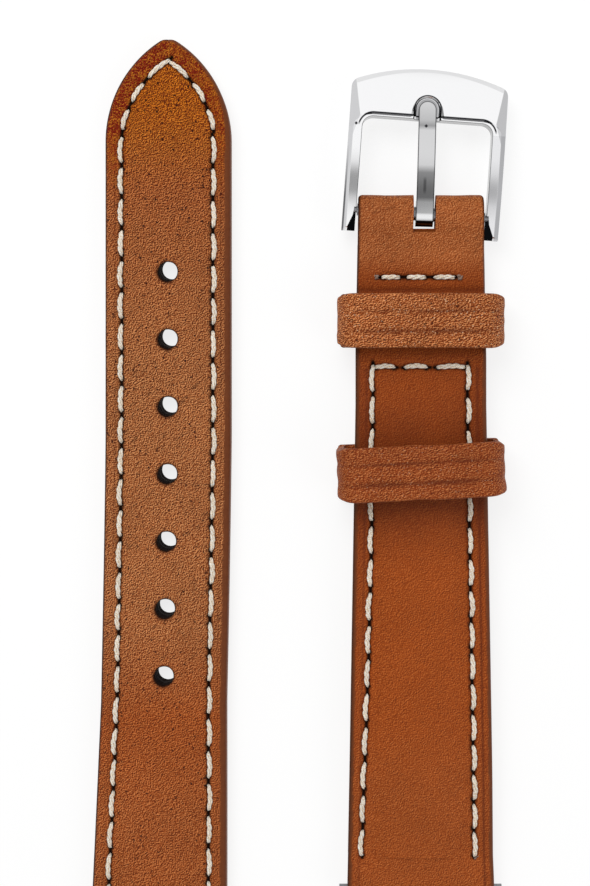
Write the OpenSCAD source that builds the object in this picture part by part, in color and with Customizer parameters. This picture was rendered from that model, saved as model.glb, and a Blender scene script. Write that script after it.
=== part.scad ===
// Two-piece leather watch strap with a pin buckle, laid flat with the holed half on the left.
// X runs across the strap, Y towards the tip and the buckle, Z up from the table.

/* [Outline] */
// Length of the holed half, from its tip to the end of its lug loop
long_length = 120.25; // [108:0.25:135]
// Width of the holed half along its holes
tail_width = 13.7; // [12.5:0.1:14]
// Width of both halves at the watch lugs
lug_width = 16; // [15.5:0.5:18]
// Width of the short half where it folds round the buckle bar
fold_width = 13.6; // [12.5:0.1:13.9]
// Width of the short half where its padding starts
body_width = 14.15; // [13.6:0.05:14.6]
// Distance between the buckle bar and the lug bar of the short half
bar_to_bar = 73.4; // [68:1:80]
// Radius of the two arcs that meet at the pointed tip
tip_radius = 13.05; // [11:0.5:16]
// Half width of the blunted tip
tip_blunt = 0.65; // [0.5:0.05:0.9]
// Length over which the holed half widens towards its lugs
long_flare = 48; // [30:1:55]

/* [Leather] */
// Thickness of the upper leather
upper_t = 1.1; // [0.9:0.05:1.3]
// Thickness of the lining leather
lining_t = 0.8; // [0.7:0.05:1]
// Thickness of the holed half's interlining
long_mid_t = 0.45; // [0.4:0.05:0.7]
// Thickness of the short half's interlining
short_mid_t = 0.8; // [0.6:0.05:0.9]
// Thickness of leather skived to lie between the upper and the lining
flap_t = 0.5; // [0.4:0.05:0.55]
// Thickness of the leather round a lug bar
loop_t = 0.9; // [0.7:0.05:1]
// Thickness of the leather round the buckle bar
fold_t = 0.8; // [0.7:0.05:0.9]
// Height of the holed half's padding at its lugs
long_pad = 1; // [0.6:0.1:1.2]
// Height of the short half's padding where it starts
short_pad_top = 0.6; // [0.4:0.1:0.8]
// Height of the short half's padding at its lugs
short_pad = 1; // [0.6:0.1:1.2]
// Thickness of a line of cement between two layers
glue = 0.05; // [0.03:0.01:0.08]
// Radius of the burnished upper edge
edge_r = 0.5; // [0.3:0.05:0.6]

/* [Adjusting holes] */
// Diameter of a hole
hole_d = 2.1; // [1.8:0.1:2.4]
// Distance from one hole to the next
hole_pitch = 7.34; // [6.5:0.1:8]
// Number of holes
hole_count = 7; // [5:1:8]
// Distance from the tip to the first hole
first_hole = 25.3; // [20:0.1:30]

/* [Stitching] */
// Distance from the edge to the line of stitches
stitch_inset = 1.8; // [1.6:0.05:2]
// Distance from the edge to the stitches at the tip
tip_inset = 2.4; // [2.1:0.1:2.6]
// Length of one stitch
stitch_length = 2.7; // [2.4:0.1:2.9]
// Pitch of the holed half's rows
long_pitch = 3.46; // [3.2:0.02:3.8]
// Pitch of the short half's rows
short_pitch = 3.4; // [3.2:0.02:3.8]
// Stitches on each side of the pointed tip
arch_stitches = 3; // [3:1:4]
// Stitches in a row across the short half
cross_stitches = 3; // [3:1:4]
// Diameter of the thread on the upper side
thread_d = 0.56; // [0.45:0.01:0.6]
// Diameter of the thread drawn tight on the lining side
under_thread_d = 0.4; // [0.3:0.01:0.42]
// Distance from a lug bar to the last stitch
lug_stitch_gap = 3.5; // [3.2:0.1:4.5]

/* [Spring bars] */
// Outer diameter of a lug bar's tube
lug_tube_d = 1.6; // [1.5:0.05:1.8]
// Outer diameter of the buckle bar's tube
buckle_tube_d = 1.5; // [1.45:0.05:1.6]
// Bore of the tubes
tube_bore_d = 1.24; // [1.16:0.02:1.28]
// Diameter of the pivots that enter the lugs and the buckle
pivot_d = 0.7; // [0.6:0.02:0.74]
// Length of a pivot past the leather
pivot_length = 0.9; // [0.7:0.05:1]
// Travel of a sprung tip
tip_travel = 1; // [0.8:0.05:1]
// Diameter of the spring wire
spring_wire_d = 0.18; // [0.14:0.01:0.2]
// Curls in one spring
spring_curls = 12; // [8:1:14]

/* [Buckle] */
// Clear width between the legs
buckle_inner = 14.1; // [14:0.1:14.6]
// Width of a leg
leg_width = 1.45; // [1.3:0.05:1.7]
// Distance from the bar to the far edge of the frame
frame_reach = 15.75; // [14:0.25:17]
// Depth of the broad bar of the frame at its middle
bar_depth = 5.6; // [4:0.1:5.9]
// Thickness of the frame
frame_t = 2.3; // [2:0.1:2.5]
// Distance from the bar to the end of a leg
leg_end = 2.4; // [2.2:0.1:2.8]
// Radius of the frame's bow, seen from the side
bow_radius = 34; // [30:1:60]
// Radius of the arched far edge, seen from above
arch_radius = 21.5; // [17:0.5:28]
// Width of the bevels along the frame's sides
bevel = 0.5; // [0.3:0.05:0.6]
// Width of the bevel along the arched far edge
arch_bevel_width = 0.38; // [0.2:0.02:0.5]
// Height by which the broad bar stands over the legs and over the ledge along the window
bar_rise = 0.32; // [0.2:0.01:0.4]
// Width of the ledge between the broad bar and the window
ledge_w = 0.33; // [0.25:0.01:0.45]
// Depth of the chamfer round the tongue's notch
notch_chamfer = 0.18; // [0.1:0.01:0.25]
// Width of the facet at each end of the broad bar
facet_width = 1.15; // [0.9:0.05:1.3]
// Angle of that facet, in degrees
facet_angle = 24.5; // [20:0.5:30]
// Width of the tongue
tongue_width = 1.9; // [1.6:0.05:2]
// Thickness of the tongue
tongue_t = 0.8; // [0.7:0.05:0.85]
// Distance from the bar to the tip of the tongue
tongue_reach = 12.2; // [11.9:0.1:12.4]

/* [Keepers] */
// Length of a keeper along the strap
keeper_length = 5.9; // [5:0.1:6.5]
// Clear width inside a keeper
keeper_inner = 16.1; // [15.6:0.1:16.4]
// Thickness of the keeper leather at its ribs
keeper_t = 0.95; // [0.85:0.05:1.1]
// Depth of the two pressed grooves
keeper_groove = 0.22; // [0.1:0.01:0.3]
// Room left over the tail inside a keeper
keeper_slack = 0.4; // [0.3:0.1:1]

/* [As laid] */
// Distance between the centrelines of the two halves
spread = 27.5; // [26:0.1:40]
// Place of the buckle bar along Y
buckle_bar_y = 41.05; // [36:0.5:45]
// Distance from the buckle bar to the middle of the fixed keeper
fixed_keeper_gap = 11.6; // [11:0.1:12.5]
// Distance from the buckle bar to the middle of the free keeper
free_keeper_gap = 27.7; // [26:0.1:36]
// Angle at which the free keeper lies, in degrees
keeper_skew = 2.5; // [0:0.1:3]
// Distance that both keepers lie to the left of the short half's centreline
keeper_shift = 0.1; // [0:0.05:0.4]
// Angle at which the buckle lies in its slack fold, in degrees
buckle_skew = 4.2; // [0:0.1:4.2]
// Angle at which the tongue lies, in degrees
tongue_skew = 1.8; // [0:0.1:3.6]
// Sideways drift of the holed half's lug end
long_drift = 1.65; // [0:0.05:2]

/* [Hidden] */

// Clearances
bar_play = 0.08;
slide_play = 0.04;
lay_gap = 0.05;
keeper_play = 0.15;
leg_bore_play = 0.05;
slot_play = 0.25;

// Leather and thread colours
tan = [0.62, 0.33, 0.17];
tan_light = [0.68, 0.39, 0.22];
lining_tan = [0.72, 0.52, 0.36];
fibre = [0.78, 0.7, 0.58];
cream = [0.86, 0.76, 0.6];
steel = [0.8, 0.81, 0.83];
spring_steel = [0.6, 0.61, 0.64];

function clamp(v, lo, hi) = max(lo, min(hi, v));
function mix(a, b, t) = a + (b - a) * t;
function smooth(t) = let (u = clamp(t, 0, 1)) u * u * (3 - 2 * u);
function ramp(v, from, to) = clamp((v - from) / (to - from), 0, 1);

// Centre of a circle of radius r that passes through p and q and bulges upwards
function arc_centre(p, q, r) =
    let (m = (p + q) / 2, d = q - p, l = norm(d), n = [d.y, -d.x] / l)
    m + n * sqrt(r * r - l * l / 4);

// Stitch grooves
groove_w = 0.45;
groove_lip = 0.09;
groove_bank = 0.06;
top_groove = 0.25;
under_groove = under_thread_d + 0.05;

// Lug loops
lug_bar_r = lug_tube_d / 2;
loop_r = lug_bar_r + bar_play;
loop_out = loop_r + loop_t;
lug_flap = 9;
lug_close = lug_stitch_gap - 0.1;
lug_drop = 15;
pad_rise = 2.5;

// Holed half, along its length
tip_y = long_length / 2;
long_bar_y = -long_length / 2 + loop_out;
tail_hw = tail_width / 2;
lug_hw = (lug_width - 0.1) / 2;
arch_rise = sqrt(pow(tip_radius, 2) - pow(tip_radius - tail_hw + tip_blunt, 2));
arch_y = tip_y - arch_rise;
flare_y = -long_length / 2 + long_flare;
drift_y = long_length / 7;
long_x = -spread / 2 + long_drift / 2;
short_x = spread / 2 + long_drift / 2;
long_edge_z = lining_t + glue + long_mid_t + glue;
long_pad_y = flare_y - 1;

function arch_hw(y, inset) =
    sqrt(pow(tip_radius - inset, 2) - pow(y - arch_y, 2)) + tail_hw - tip_radius;
function long_hw(y) = y > arch_y
    ? max(tip_blunt, arch_hw(min(y, tip_y), 0))
    : mix(tail_hw, lug_hw, ramp(y, flare_y, -long_length / 2));
function long_cx(y) = long_x
    - long_drift * pow(ramp(y, drift_y, -long_length / 2), 1.25);
function long_inset(y) = mix(stitch_inset, tip_inset, ramp(y, arch_y, tip_y - 1.5));
arch_apex_y = arch_y + sqrt(pow(tip_radius - tip_inset, 2) - pow(tip_radius - tail_hw, 2));
function long_line(y) = y >= arch_apex_y ? 0
    : y > arch_y ? max(0, arch_hw(y, long_inset(y))) : long_hw(y) - stitch_inset;
function long_groove(y) = ramp(long_line(y), 1.3, 1.6) * ramp(y, long_bar_y + lug_stitch_gap - 0.6,
    long_bar_y + lug_stitch_gap - 0.1);
function long_padding_h(y) = mix(0.3, long_pad, ramp(y, long_pad_y, long_bar_y + 12));
long_top_z = long_edge_z + upper_t;

// Short half, along its length
short_base = keeper_t + keeper_play;
short_bar_y = buckle_bar_y - bar_to_bar;
buckle_bar_r = buckle_tube_d / 2;
fold_r = buckle_bar_r + bar_play;
fold_out = fold_r + fold_t;
buckle_z = short_base + fold_out;
fold_y = buckle_bar_y + sin(buckle_skew) * fold_width / 2;
fixed_keeper_y = buckle_bar_y - fixed_keeper_gap;
free_keeper_y = buckle_bar_y - free_keeper_gap;
cross_y = fixed_keeper_y + keeper_length / 2 + 1.75;
fold_flap_y = fixed_keeper_y + keeper_length / 2 + 0.25;
mid_top_y = fixed_keeper_y - keeper_length / 2 - 0.25;
u_row_y = mid_top_y - 1.85;
short_pad_y = u_row_y - 0.7;
fold_edge_z = lining_t + glue + flap_t + glue;
body_edge_z = lining_t + glue + short_mid_t + glue;

function short_hw(y) = y > mid_top_y
    ? mix(body_width, fold_width, ramp(y, mid_top_y, buckle_bar_y)) / 2
    : mix(body_width / 2, lug_hw, ramp(y, mid_top_y - 6, short_bar_y));
function short_base_z(y) = short_base * smooth(ramp(y, short_bar_y + 1.4, short_bar_y + lug_drop));
function short_edge_z(y) = mix(body_edge_z, fold_edge_z, ramp(y, mid_top_y - 0.45, mid_top_y + 0.15));
function short_line(y) = short_hw(y) - stitch_inset;
function short_groove(y) = ramp(y, u_row_y + groove_w + groove_bank, u_row_y + groove_w - groove_bank)
    * ramp(y, short_bar_y + lug_stitch_gap - 0.6, short_bar_y + lug_stitch_gap - 0.1);
function short_padding_h(y) = mix(short_pad_top, short_pad, ramp(y, short_pad_y - pad_rise, short_bar_y + 12))
    * ramp(y, short_pad_y, short_pad_y - pad_rise);
function short_top_z(y) = short_base_z(y) + short_edge_z(y) + upper_t;

// Share of the padding's height at a share u of its half width
function swell(u) = 1 - pow(abs(u), 2.5);
pad_edge = 0.88;
pad_us = [-pad_edge, -0.6, -0.3, 0, 0.3, 0.6, pad_edge];
top_us = [1, 0.8, 0.45, 0, -0.45, -0.8, -1];

upper_chain = len(pad_us) + 4;

// Places across a half: edge radius, outer and inner groove edge, and half width of the padded middle
function rim(hw) = min(edge_r, 0.35 * hw);
function groove_out(hw, line) = min(line + groove_w, hw - rim(hw) - 0.03);
function groove_in(hw, line) = max(line - groove_w, min(0.25 * hw, groove_out(hw, line) - 0.25));
function middle(hw, line) = 0.95 * groove_in(hw, line);

// One ring of the upper leather. at = [y, z, ny, nz] is its underside and outward normal.
function upper_ring(cx, hw, line, depth, pad, sink, t, at) =
    let (
        r = rim(hw),
        go = groove_out(hw, line),
        gi = groove_in(hw, line),
        m = middle(hw, line),
        lift = pad > 0 ? glue : 0,
        under = [[-hw, 0], [-m, 0], for (u = pad_us) [u * m, pad * swell(u) + lift], [m, 0], [hw, 0]],
        side = [[hw, t - r], [hw - 0.3 * r, t - 0.3 * r], [hw - r, t]],
        cut = [[go, t], [go - groove_lip, t - depth], [gi + groove_lip, t - depth], [gi, t]],
        crown = [for (u = top_us) [u * m, t + pad * swell(u) - sink]],
        over = concat(side, cut, crown, mirrored(cut), mirrored(side))
    )
    [for (p = concat(under, over)) [cx + p.x, at[0] + p.y * at[2], at[1] + p.y * at[3]]];
function mirrored(list) = [for (i = [len(list) - 1:-1:0]) [-list[i].x, list[i].y]];

// One ring of the lining, with the grooves of the under stitches. sink lifts the middle of its underside.
function lining_ring(cx, hw, line, depth, sink, y, z) =
    let (
        go = groove_out(hw, line),
        gi = groove_in(hw, line),
        m = middle(hw, line),
        cut = [[go, 0], [go - groove_lip, depth], [gi + groove_lip, depth], [gi, 0]],
        under = concat([[hw, 0]], cut, [[m, sink], [-m, sink]], mirrored(cut), [[-hw, 0]])
    )
    [for (p = concat([[-hw, lining_t], [hw, lining_t]], under)) [cx + p.x, y, z + p.y]];

// One ring of a flat layer
function layer_ring(cx, hw, t, y, z) =
    [for (p = [[-hw, t], [hw, t], [hw, 0], [-hw, 0]]) [cx + p.x, y, z + p.y]];

// One ring of the padding, flat below and domed above
function padding_ring(cx, hw, line, pad, y, z) =
    let (m = middle(hw, line))
    [for (p = concat([for (u = pad_us) [u * m, pad * swell(u)]],
        [[pad_edge * m, 0], [-pad_edge * m, 0]])) [cx + p.x, y, z + p.y]];

// Does the strip that closes a ring step along its first chain next? The ring has na points in one chain
// and the rest in a second that comes back. axis is 0 or 1, the direction in which both chains run.
function steps_first(ring, na, axis, i, j) =
    let (n = len(ring))
    i < na - 1 && (j == n - na - 1 || ring[i + 1][axis] <= ring[n - 2 - j][axis]);

// Triangles that close a ring
function ring_cap(ring, na, axis) =
    let (n = len(ring))
    [for (i = 0, j = 0; i + j < n - 2;
        first = steps_first(ring, na, axis, i, j), i = i + (first ? 1 : 0), j = j + (first ? 0 : 1))
        steps_first(ring, na, axis, i, j) ? [i, i + 1, n - 1 - j] : [i, n - 2 - j, n - 1 - j]];

// Solid skin over a list of rings with equal counts, whose first chain has na points
module skin(rings, na, axis = 0) {
    n = len(rings[0]);
    last = len(rings) - 1;
    sides = [for (i = [0:last - 1], j = [0:n - 1])
        let (k = (j + 1) % n, a = i * n, b = (i + 1) * n)
        each [[a + j, a + k, b + k], [a + j, b + k, b + j]]];
    head = [for (f = ring_cap(rings[0], na, axis)) [f[2], f[1], f[0]]];
    tail = [for (f = ring_cap(rings[last], na, axis)) [for (v = f) last * n + v]];
    polyhedron(points = [for (r = rings, p = r) p], faces = concat(sides, head, tail), convexity = 8);
}

// Stations along the holed half, from its tip down
arch_turn = asin(arch_rise / tip_radius);
arch_ys = [for (k = [10:-1:1]) arch_y + tip_radius * sin(arch_turn * k / 10)];
long_ys = concat(arch_ys, [arch_y, 40, 29, drift_y, 9, 0, -7, flare_y, long_pad_y, -21, -30, -39,
    long_bar_y + lug_flap + 0.6, long_bar_y + lug_flap, long_bar_y + 6, long_bar_y + lug_close]);
long_pad_ys = [for (y = long_ys) if (y <= long_pad_y) y];
long_mid_ys = [for (y = long_ys) if (y >= long_bar_y + lug_flap + 0.6) y];

// Stations down the short half, from behind the buckle fold
fold_ys = [fold_y - 4.2, cross_y + groove_w + groove_bank, cross_y + groove_w - groove_bank,
    cross_y - groove_w + groove_bank, cross_y - groove_w - groove_bank, mid_top_y + 0.15];
body_ys = [mid_top_y - 0.45, u_row_y + groove_w + groove_bank, u_row_y + groove_w - groove_bank,
    u_row_y - groove_w + groove_bank, u_row_y - groove_w - groove_bank, short_pad_y, short_pad_y - 1,
    short_pad_y - pad_rise, mid_top_y - 6, 7, -3, -12];
drop_ys = [for (k = [0:5]) short_bar_y + lug_drop - k];
short_lug_ys = [short_bar_y + lug_flap + 0.6, short_bar_y + lug_flap, short_bar_y + 7.5,
    short_bar_y + 6, short_bar_y + 4.6, short_bar_y + lug_close];
short_ys = concat(fold_ys, body_ys, drop_ys, short_lug_ys);
short_pad_ys = [for (y = short_ys) if (y < short_pad_y) y];
short_mid_ys = [for (y = short_ys) if (y < mid_top_y && y > short_bar_y + lug_flap + 0.5) y];
short_lining_y = fold_y - 3.8;
short_lining_ys = concat([short_lining_y], [for (y = short_ys) if (y < short_lining_y) y]);

// Rings that carry an upper down round a lug bar and back as a flap to the stations ys.
// edge_z(y) of the flap's upper face is given as a list beside ys.
function lug_turn(cx, y, ys, zs, cxs, hws, flap) =
    let (line = lug_hw - stitch_inset)
    concat(
        [upper_ring(cx, lug_hw, line, 0, 0, 0, upper_t, [y + 1.2, loop_out + loop_r - 0.25, 0, 1])],
        [for (a = [90:22.5:270]) upper_ring(cx, lug_hw, line, 0, 0, 0, loop_t,
            [y + loop_r * cos(a), loop_out + loop_r * sin(a), cos(a), sin(a)])],
        [for (k = [0:len(ys) - 1])
            upper_ring(cxs[k], hws[k], line, 0, 0, 0, flap, [ys[k], zs[k], 0, -1])]);

// Holes down the centreline of the holed half
module hole_drills() {
    for (k = [0:hole_count - 1]) {
        y = tip_y - first_hole - k * hole_pitch;
        translate([long_cx(y), y, -1]) cylinder(d = hole_d, h = long_top_z + 3, $fn = 48);
    }
}

module long_upper() {
    along = [for (y = long_ys) upper_ring(long_cx(y), long_hw(y), long_line(y),
        top_groove * long_groove(y), y <= long_pad_y ? long_padding_h(y) : 0, 0, upper_t,
        [y, long_edge_z, 0, 1])];
    ys = [long_bar_y + lug_close, long_bar_y + lug_flap];
    turn = lug_turn(long_cx(long_bar_y), long_bar_y, ys, [for (y = ys) long_edge_z - glue],
        [for (y = ys) long_cx(y)], [for (y = ys) long_hw(y)], long_mid_t);
    color(tan) difference() {
        skin(concat(along, turn), upper_chain);
        hole_drills();
    }
}

module long_lining() {
    color(lining_tan) difference() {
        skin([for (y = long_ys) lining_ring(long_cx(y), long_hw(y), long_line(y),
            under_groove * long_groove(y), 0, y, 0)], 2);
        hole_drills();
    }
}

module long_interlining() {
    color(fibre) difference() {
        skin([for (y = long_mid_ys) layer_ring(long_cx(y), long_hw(y), long_mid_t, y, lining_t + glue)], 2);
        hole_drills();
    }
}

module long_padding() {
    color(fibre) skin([for (y = long_pad_ys) padding_ring(long_cx(y), long_hw(y), long_line(y),
        long_padding_h(y), y, long_edge_z)], len(pad_us));
}

// One stitch of the radius r, drawn in at both ends
module stitch(p, q, r) {
    d = q - p;
    l = norm(d);
    neck = min(0.45, l / 4);
    translate(p) rotate([0, acos(d.z / l), atan2(d.y, d.x)])
        rotate_extrude($fn = 24) polygon([[0, 0], [0.55 * r, 0], [r, neck], [r, l - neck], [0.55 * r, l], [0, l]]);
}

top_r = thread_d / 2;
under_r = under_thread_d / 2;

// Stitches above and below the holed half, from one end of each to the other
module long_pair(p, q) {
    depth = top_groove * min(long_groove(p.y), long_groove(q.y));
    up = [0, 0, long_top_z - depth + top_r + lay_gap];
    down = [0, 0, under_groove - under_r - lay_gap];
    stitch(p + up, q + up, top_r);
    if (depth > 0) stitch(p + down, q + down, under_r);
}

module long_stitching() {
    row_end = long_bar_y + lug_stitch_gap;
    count = floor((arch_y - row_end) / long_pitch);
    reach = tip_radius - tip_inset;
    apex = acos((tip_radius - tail_hw) / reach);
    share = stitch_length / long_pitch;
    color(cream) for (side = [-1, 1]) {
        for (k = [0:arch_stitches - 1]) {
            y0 = arch_y + reach * sin(apex * (1 - (k + 0.04) / arch_stitches));
            y1 = arch_y + reach * sin(apex * (1 - (k + share) / arch_stitches));
            x0 = max(long_line(y0), 0.34);
            long_pair([long_x + side * x0, y0, 0], [long_x + side * long_line(y1), y1, 0]);
        }
        for (k = [0:count - 1]) {
            y0 = arch_y - 0.3 - k * long_pitch;
            y1 = y0 - stitch_length;
            long_pair([long_cx(y0) + side * long_line(y0), y0, 0], [long_cx(y1) + side * long_line(y1), y1, 0]);
        }
    }
}

// Share of the groove's depth in the two rows that cross the short half
function across(y, row) = 1 - ramp(abs(y - row), groove_w - groove_bank, groove_w + groove_bank);
function cross_sink(y) = max(across(y, cross_y), across(y, u_row_y));

module short_upper() {
    line = fold_width / 2 - stitch_inset;
    flap_z = short_base + fold_edge_z - glue;
    slack_y = buckle_bar_y - sin(buckle_skew) * fold_width / 2 - 0.4;
    flap = [for (y = [fold_flap_y, fold_y - 3.7])
        upper_ring(short_x, short_hw(y), line, 0, 0, 0, flap_t, [y, flap_z, 0, -1])];
    fold = concat(
        [upper_ring(short_x, short_hw(slack_y), line, 0, 0, 0, fold_t, [slack_y, buckle_z - fold_r, 0, -1])],
        [for (a = [-90:22.5:90]) upper_ring(short_x, short_hw(fold_y), line, 0, 0, 0, fold_t,
            [fold_y + fold_r * cos(a), buckle_z + fold_r * sin(a), cos(a), sin(a)])],
        [upper_ring(short_x, short_hw(slack_y), line, 0, 0, 0, fold_t, [slack_y, buckle_z + fold_r, 0, 1])],
        [upper_ring(short_x, short_hw(fold_y - 2.6), line, 0, 0, 0, mix(fold_t, upper_t, 0.6),
            [fold_y - 2.6, mix(buckle_z + fold_r, short_base + fold_edge_z, 0.6), 0, 1])]);
    along = [for (y = short_ys) upper_ring(short_x, short_hw(y), short_line(y),
        top_groove * short_groove(y), short_padding_h(y), top_groove * cross_sink(y), upper_t,
        [y, short_base_z(y) + short_edge_z(y), 0, 1])];
    ys = [for (k = [5:-1:1]) short_lug_ys[k]];
    turn = lug_turn(short_x, short_bar_y, ys, [for (y = ys) short_base_z(y) + body_edge_z - glue],
        [for (y = ys) short_x], [for (y = ys) short_hw(y)], short_mid_t);
    color(tan) difference() {
        skin(concat(flap, fold, along, turn), upper_chain);
        on_buckle_bar(tongue_skew) translate([tongue_shift, -slot_end, -5])
            translate([-tongue_width / 2 - slot_play, 0, 0]) cube([tongue_width + 2 * slot_play, 8, 10]);
    }
}

module short_lining() {
    color(lining_tan) skin([for (y = short_lining_ys) lining_ring(short_x, short_hw(y), short_line(y),
        under_groove * short_groove(y), under_groove * cross_sink(y), y, short_base_z(y))], 2);
}

module short_interlining() {
    color(fibre) skin([for (y = short_mid_ys)
        layer_ring(short_x, short_hw(y), short_mid_t, y, short_base_z(y) + lining_t + glue)], 2);
}

module short_padding() {
    color(fibre) skin([for (y = short_pad_ys) padding_ring(short_x, short_hw(y), short_line(y),
        short_padding_h(y), y, short_base_z(y) + body_edge_z)], len(pad_us));
}

// Stitches above and below the short half between two places x, y
module short_pair(p, q) {
    function lift(v) = [0, 0, short_top_z(v.y) - top_groove + top_r + lay_gap];
    function drop(v) = [0, 0, short_base_z(v.y) + under_groove - under_r - lay_gap];
    stitch(p + lift(p), q + lift(q), top_r);
    stitch(p + drop(p), q + drop(q), under_r);
}

// A row of stitches straight across the short half
module short_cross_row(y) {
    half = middle(short_hw(y), short_line(y)) - 0.15;
    pitch = 2 * half / cross_stitches;
    for (k = [0:cross_stitches - 1]) {
        x0 = short_x - half + (k + 0.1) * pitch;
        short_pair([x0, y, 0], [x0 + 0.8 * pitch, y, 0]);
    }
}

module short_stitching() {
    start = u_row_y - 0.25;
    count = floor((start - short_bar_y - lug_stitch_gap + short_pitch - stitch_length) / short_pitch);
    color(cream) {
        short_cross_row(u_row_y);
        for (side = [-1, 1], k = [0:count - 1]) {
            y0 = start - k * short_pitch;
            y1 = y0 - stitch_length;
            short_pair([short_x + side * short_line(y0), y0, 0], [short_x + side * short_line(y1), y1, 0]);
        }
    }
}

module cross_stitching() {
    color(cream) short_cross_row(cross_y);
}

// Inner path of a keeper as [x, z, nx, nz], from the seam below round to the seam again.
// half is its half width, low and high its inner floor and roof.
keeper_seam = 0.1;
keeper_crown = 0.25;
function keeper_path(half, low, high, r_low, r_high) = concat(
    [[keeper_seam, low, 0, -1]],
    [for (a = [270:22.5:360]) [half - r_low + r_low * cos(a), low + r_low + r_low * sin(a), cos(a), sin(a)]],
    [for (a = [0:18:90]) [half - r_high + r_high * cos(a), high - r_high + r_high * sin(a), cos(a), sin(a)]],
    [for (u = [0.6, 0, -0.6]) [u * (half - r_high), high + keeper_crown * (1 - u * u), 0, 1]],
    [for (a = [90:18:180]) [r_high - half + r_high * cos(a), high - r_high + r_high * sin(a), cos(a), sin(a)]],
    [for (a = [180:22.5:270]) [r_low - half + r_low * cos(a), low + r_low + r_low * sin(a), cos(a), sin(a)]],
    [[-keeper_seam, low, 0, -1]]);

// Section of a keeper strip of the thickness t, with two grooves of the depth g
function keeper_section(t, g) =
    let (
        l = keeper_length / 2,
        v = keeper_length * 0.18,
        edge = [[-l + 0.1, 0], [l - 0.1, 0], [l, 0.12], [l, t - 0.3], [l - 0.25, t - 0.05]],
        ribs = [[v + 0.3, t], [v, t - g], [v - 0.3, t], [0, t], [0.3 - v, t], [-v, t - g], [-v - 0.3, t]]
    )
    concat(edge, ribs, [[0.25 - l, t - 0.05], [-l, t - 0.3], [-l, 0.12]]);

// A keeper whose floor strip is floor_t thick and has no grooves where flat is true
module keeper(half, low, high, r_low, floor_t, flat) {
    path = keeper_path(half, low, high, r_low, 1.6);
    skin([for (s = path)
        let (w = flat ? clamp((s[3] + 1) * 1.2, 0, 1) : 1, t = mix(floor_t, keeper_t, w))
        [for (q = keeper_section(t, keeper_groove * w)) [s[0] + s[2] * q.y, q.x, s[1] + s[3] * q.y]]], 2, 1);
}

module fixed_keeper() {
    low = short_base + lining_t + glue + flap_t;
    high = short_base + fold_edge_z + upper_t + long_top_z + keeper_slack;
    color(tan_light) translate([short_x - keeper_shift, fixed_keeper_y, 0])
        keeper(keeper_inner / 2, low, high, 0.6, flap_t, true);
}

module free_keeper() {
    high = short_top_z(free_keeper_y) + short_padding_h(free_keeper_y) + glue + long_top_z + keeper_slack;
    color(tan_light) translate([short_x - keeper_shift, free_keeper_y, 0]) rotate([0, 0, keeper_skew])
        keeper(keeper_inner / 2, keeper_t, high, 0.8, keeper_t, false);
}

// Spring bars lie along X about the origin. reach is half the clear width that the bar spans.
crimp = 0.5;
head_l = 0.55;
bore_r = tube_bore_d / 2;
head_r = bore_r - slide_play;
neck_r = head_r - 0.07;
mouth_r = neck_r + slide_play;
flange_r = head_r + 0.08;
flange_l = 0.2;
head_gap = 0.05;
buckle_span = buckle_inner / 2 - 0.1;
tube_stop = flange_l + tip_travel + head_gap;
lug_tube_half = lug_hw - tube_stop;
buckle_tube_half = buckle_span - tube_stop;

module bar_tube(r, half) {
    color(steel) rotate([0, 90, 0]) rotate_extrude($fn = 48) polygon([
        [mouth_r, -half], [r, -half], [r, half], [mouth_r, half], [mouth_r, half - crimp],
        [bore_r, half - crimp], [bore_r, crimp - half], [mouth_r, crimp - half]]);
}

// A sprung tip on the side +X: head inside the tube, neck through its crimped mouth, flange and pivot outside
module bar_tip(half, span) {
    stop = half - crimp - head_gap;
    color(steel) rotate([0, 90, 0]) rotate_extrude($fn = 48) polygon([
        [0, stop - head_l], [head_r, stop - head_l], [head_r, stop], [neck_r, stop], [neck_r, span - flange_l],
        [flange_r, span - flange_l], [flange_r, span], [pivot_d / 2, span],
        [pivot_d / 2, span + pivot_length], [0, span + pivot_length]]);
}

// Centre of ring k of the spring that runs from -end to end along X
rings_a_curl = 8;
spring_r = bore_r - spring_wire_d / 2 - 0.06;
function coil_point(k, end) =
    let (a = 360 * k / rings_a_curl, last = spring_curls * rings_a_curl)
    [mix(-end, end, k / last), spring_r * cos(a), spring_r * sin(a)];
function coil_gap(end) = min([for (k = [0:(spring_curls - 2) * rings_a_curl], j = [5:9])
    norm(coil_point(k + j, end) - coil_point(k, end)) - spring_wire_d]);

module bar_spring(half) {
    end = half - crimp - head_gap - head_l - 0.03 - spring_wire_d / 2;
    last = spring_curls * rings_a_curl;
    echo(str("Least gap between the curls of a spring in mm: ", coil_gap(end)));
    pitch_turn = atan2(2 * end / spring_curls, 2 * PI * spring_r);
    color(spring_steel) skin([for (k = [0:last])
        let (c = coil_point(k, end), a = 360 * k / rings_a_curl,
            out = [0, cos(a), sin(a)], lie = [cos(pitch_turn), sin(pitch_turn) * sin(a),
                -sin(pitch_turn) * cos(a)])
        [for (s = [0:60:300]) c + spring_wire_d / 2 * (cos(s) * out + sin(s) * lie)]], 3);
}

module on_long_bar() {
    translate([long_cx(long_bar_y), long_bar_y, loop_out]) children();
}

module on_short_bar() {
    translate([short_x, short_bar_y, loop_out]) children();
}

module on_buckle_bar(skew) {
    translate([short_x, buckle_bar_y, buckle_z]) rotate([0, 0, -skew]) children();
}

// The left tip of a bar is the right one turned round
module left() {
    rotate([0, 0, 180]) children();
}

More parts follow.
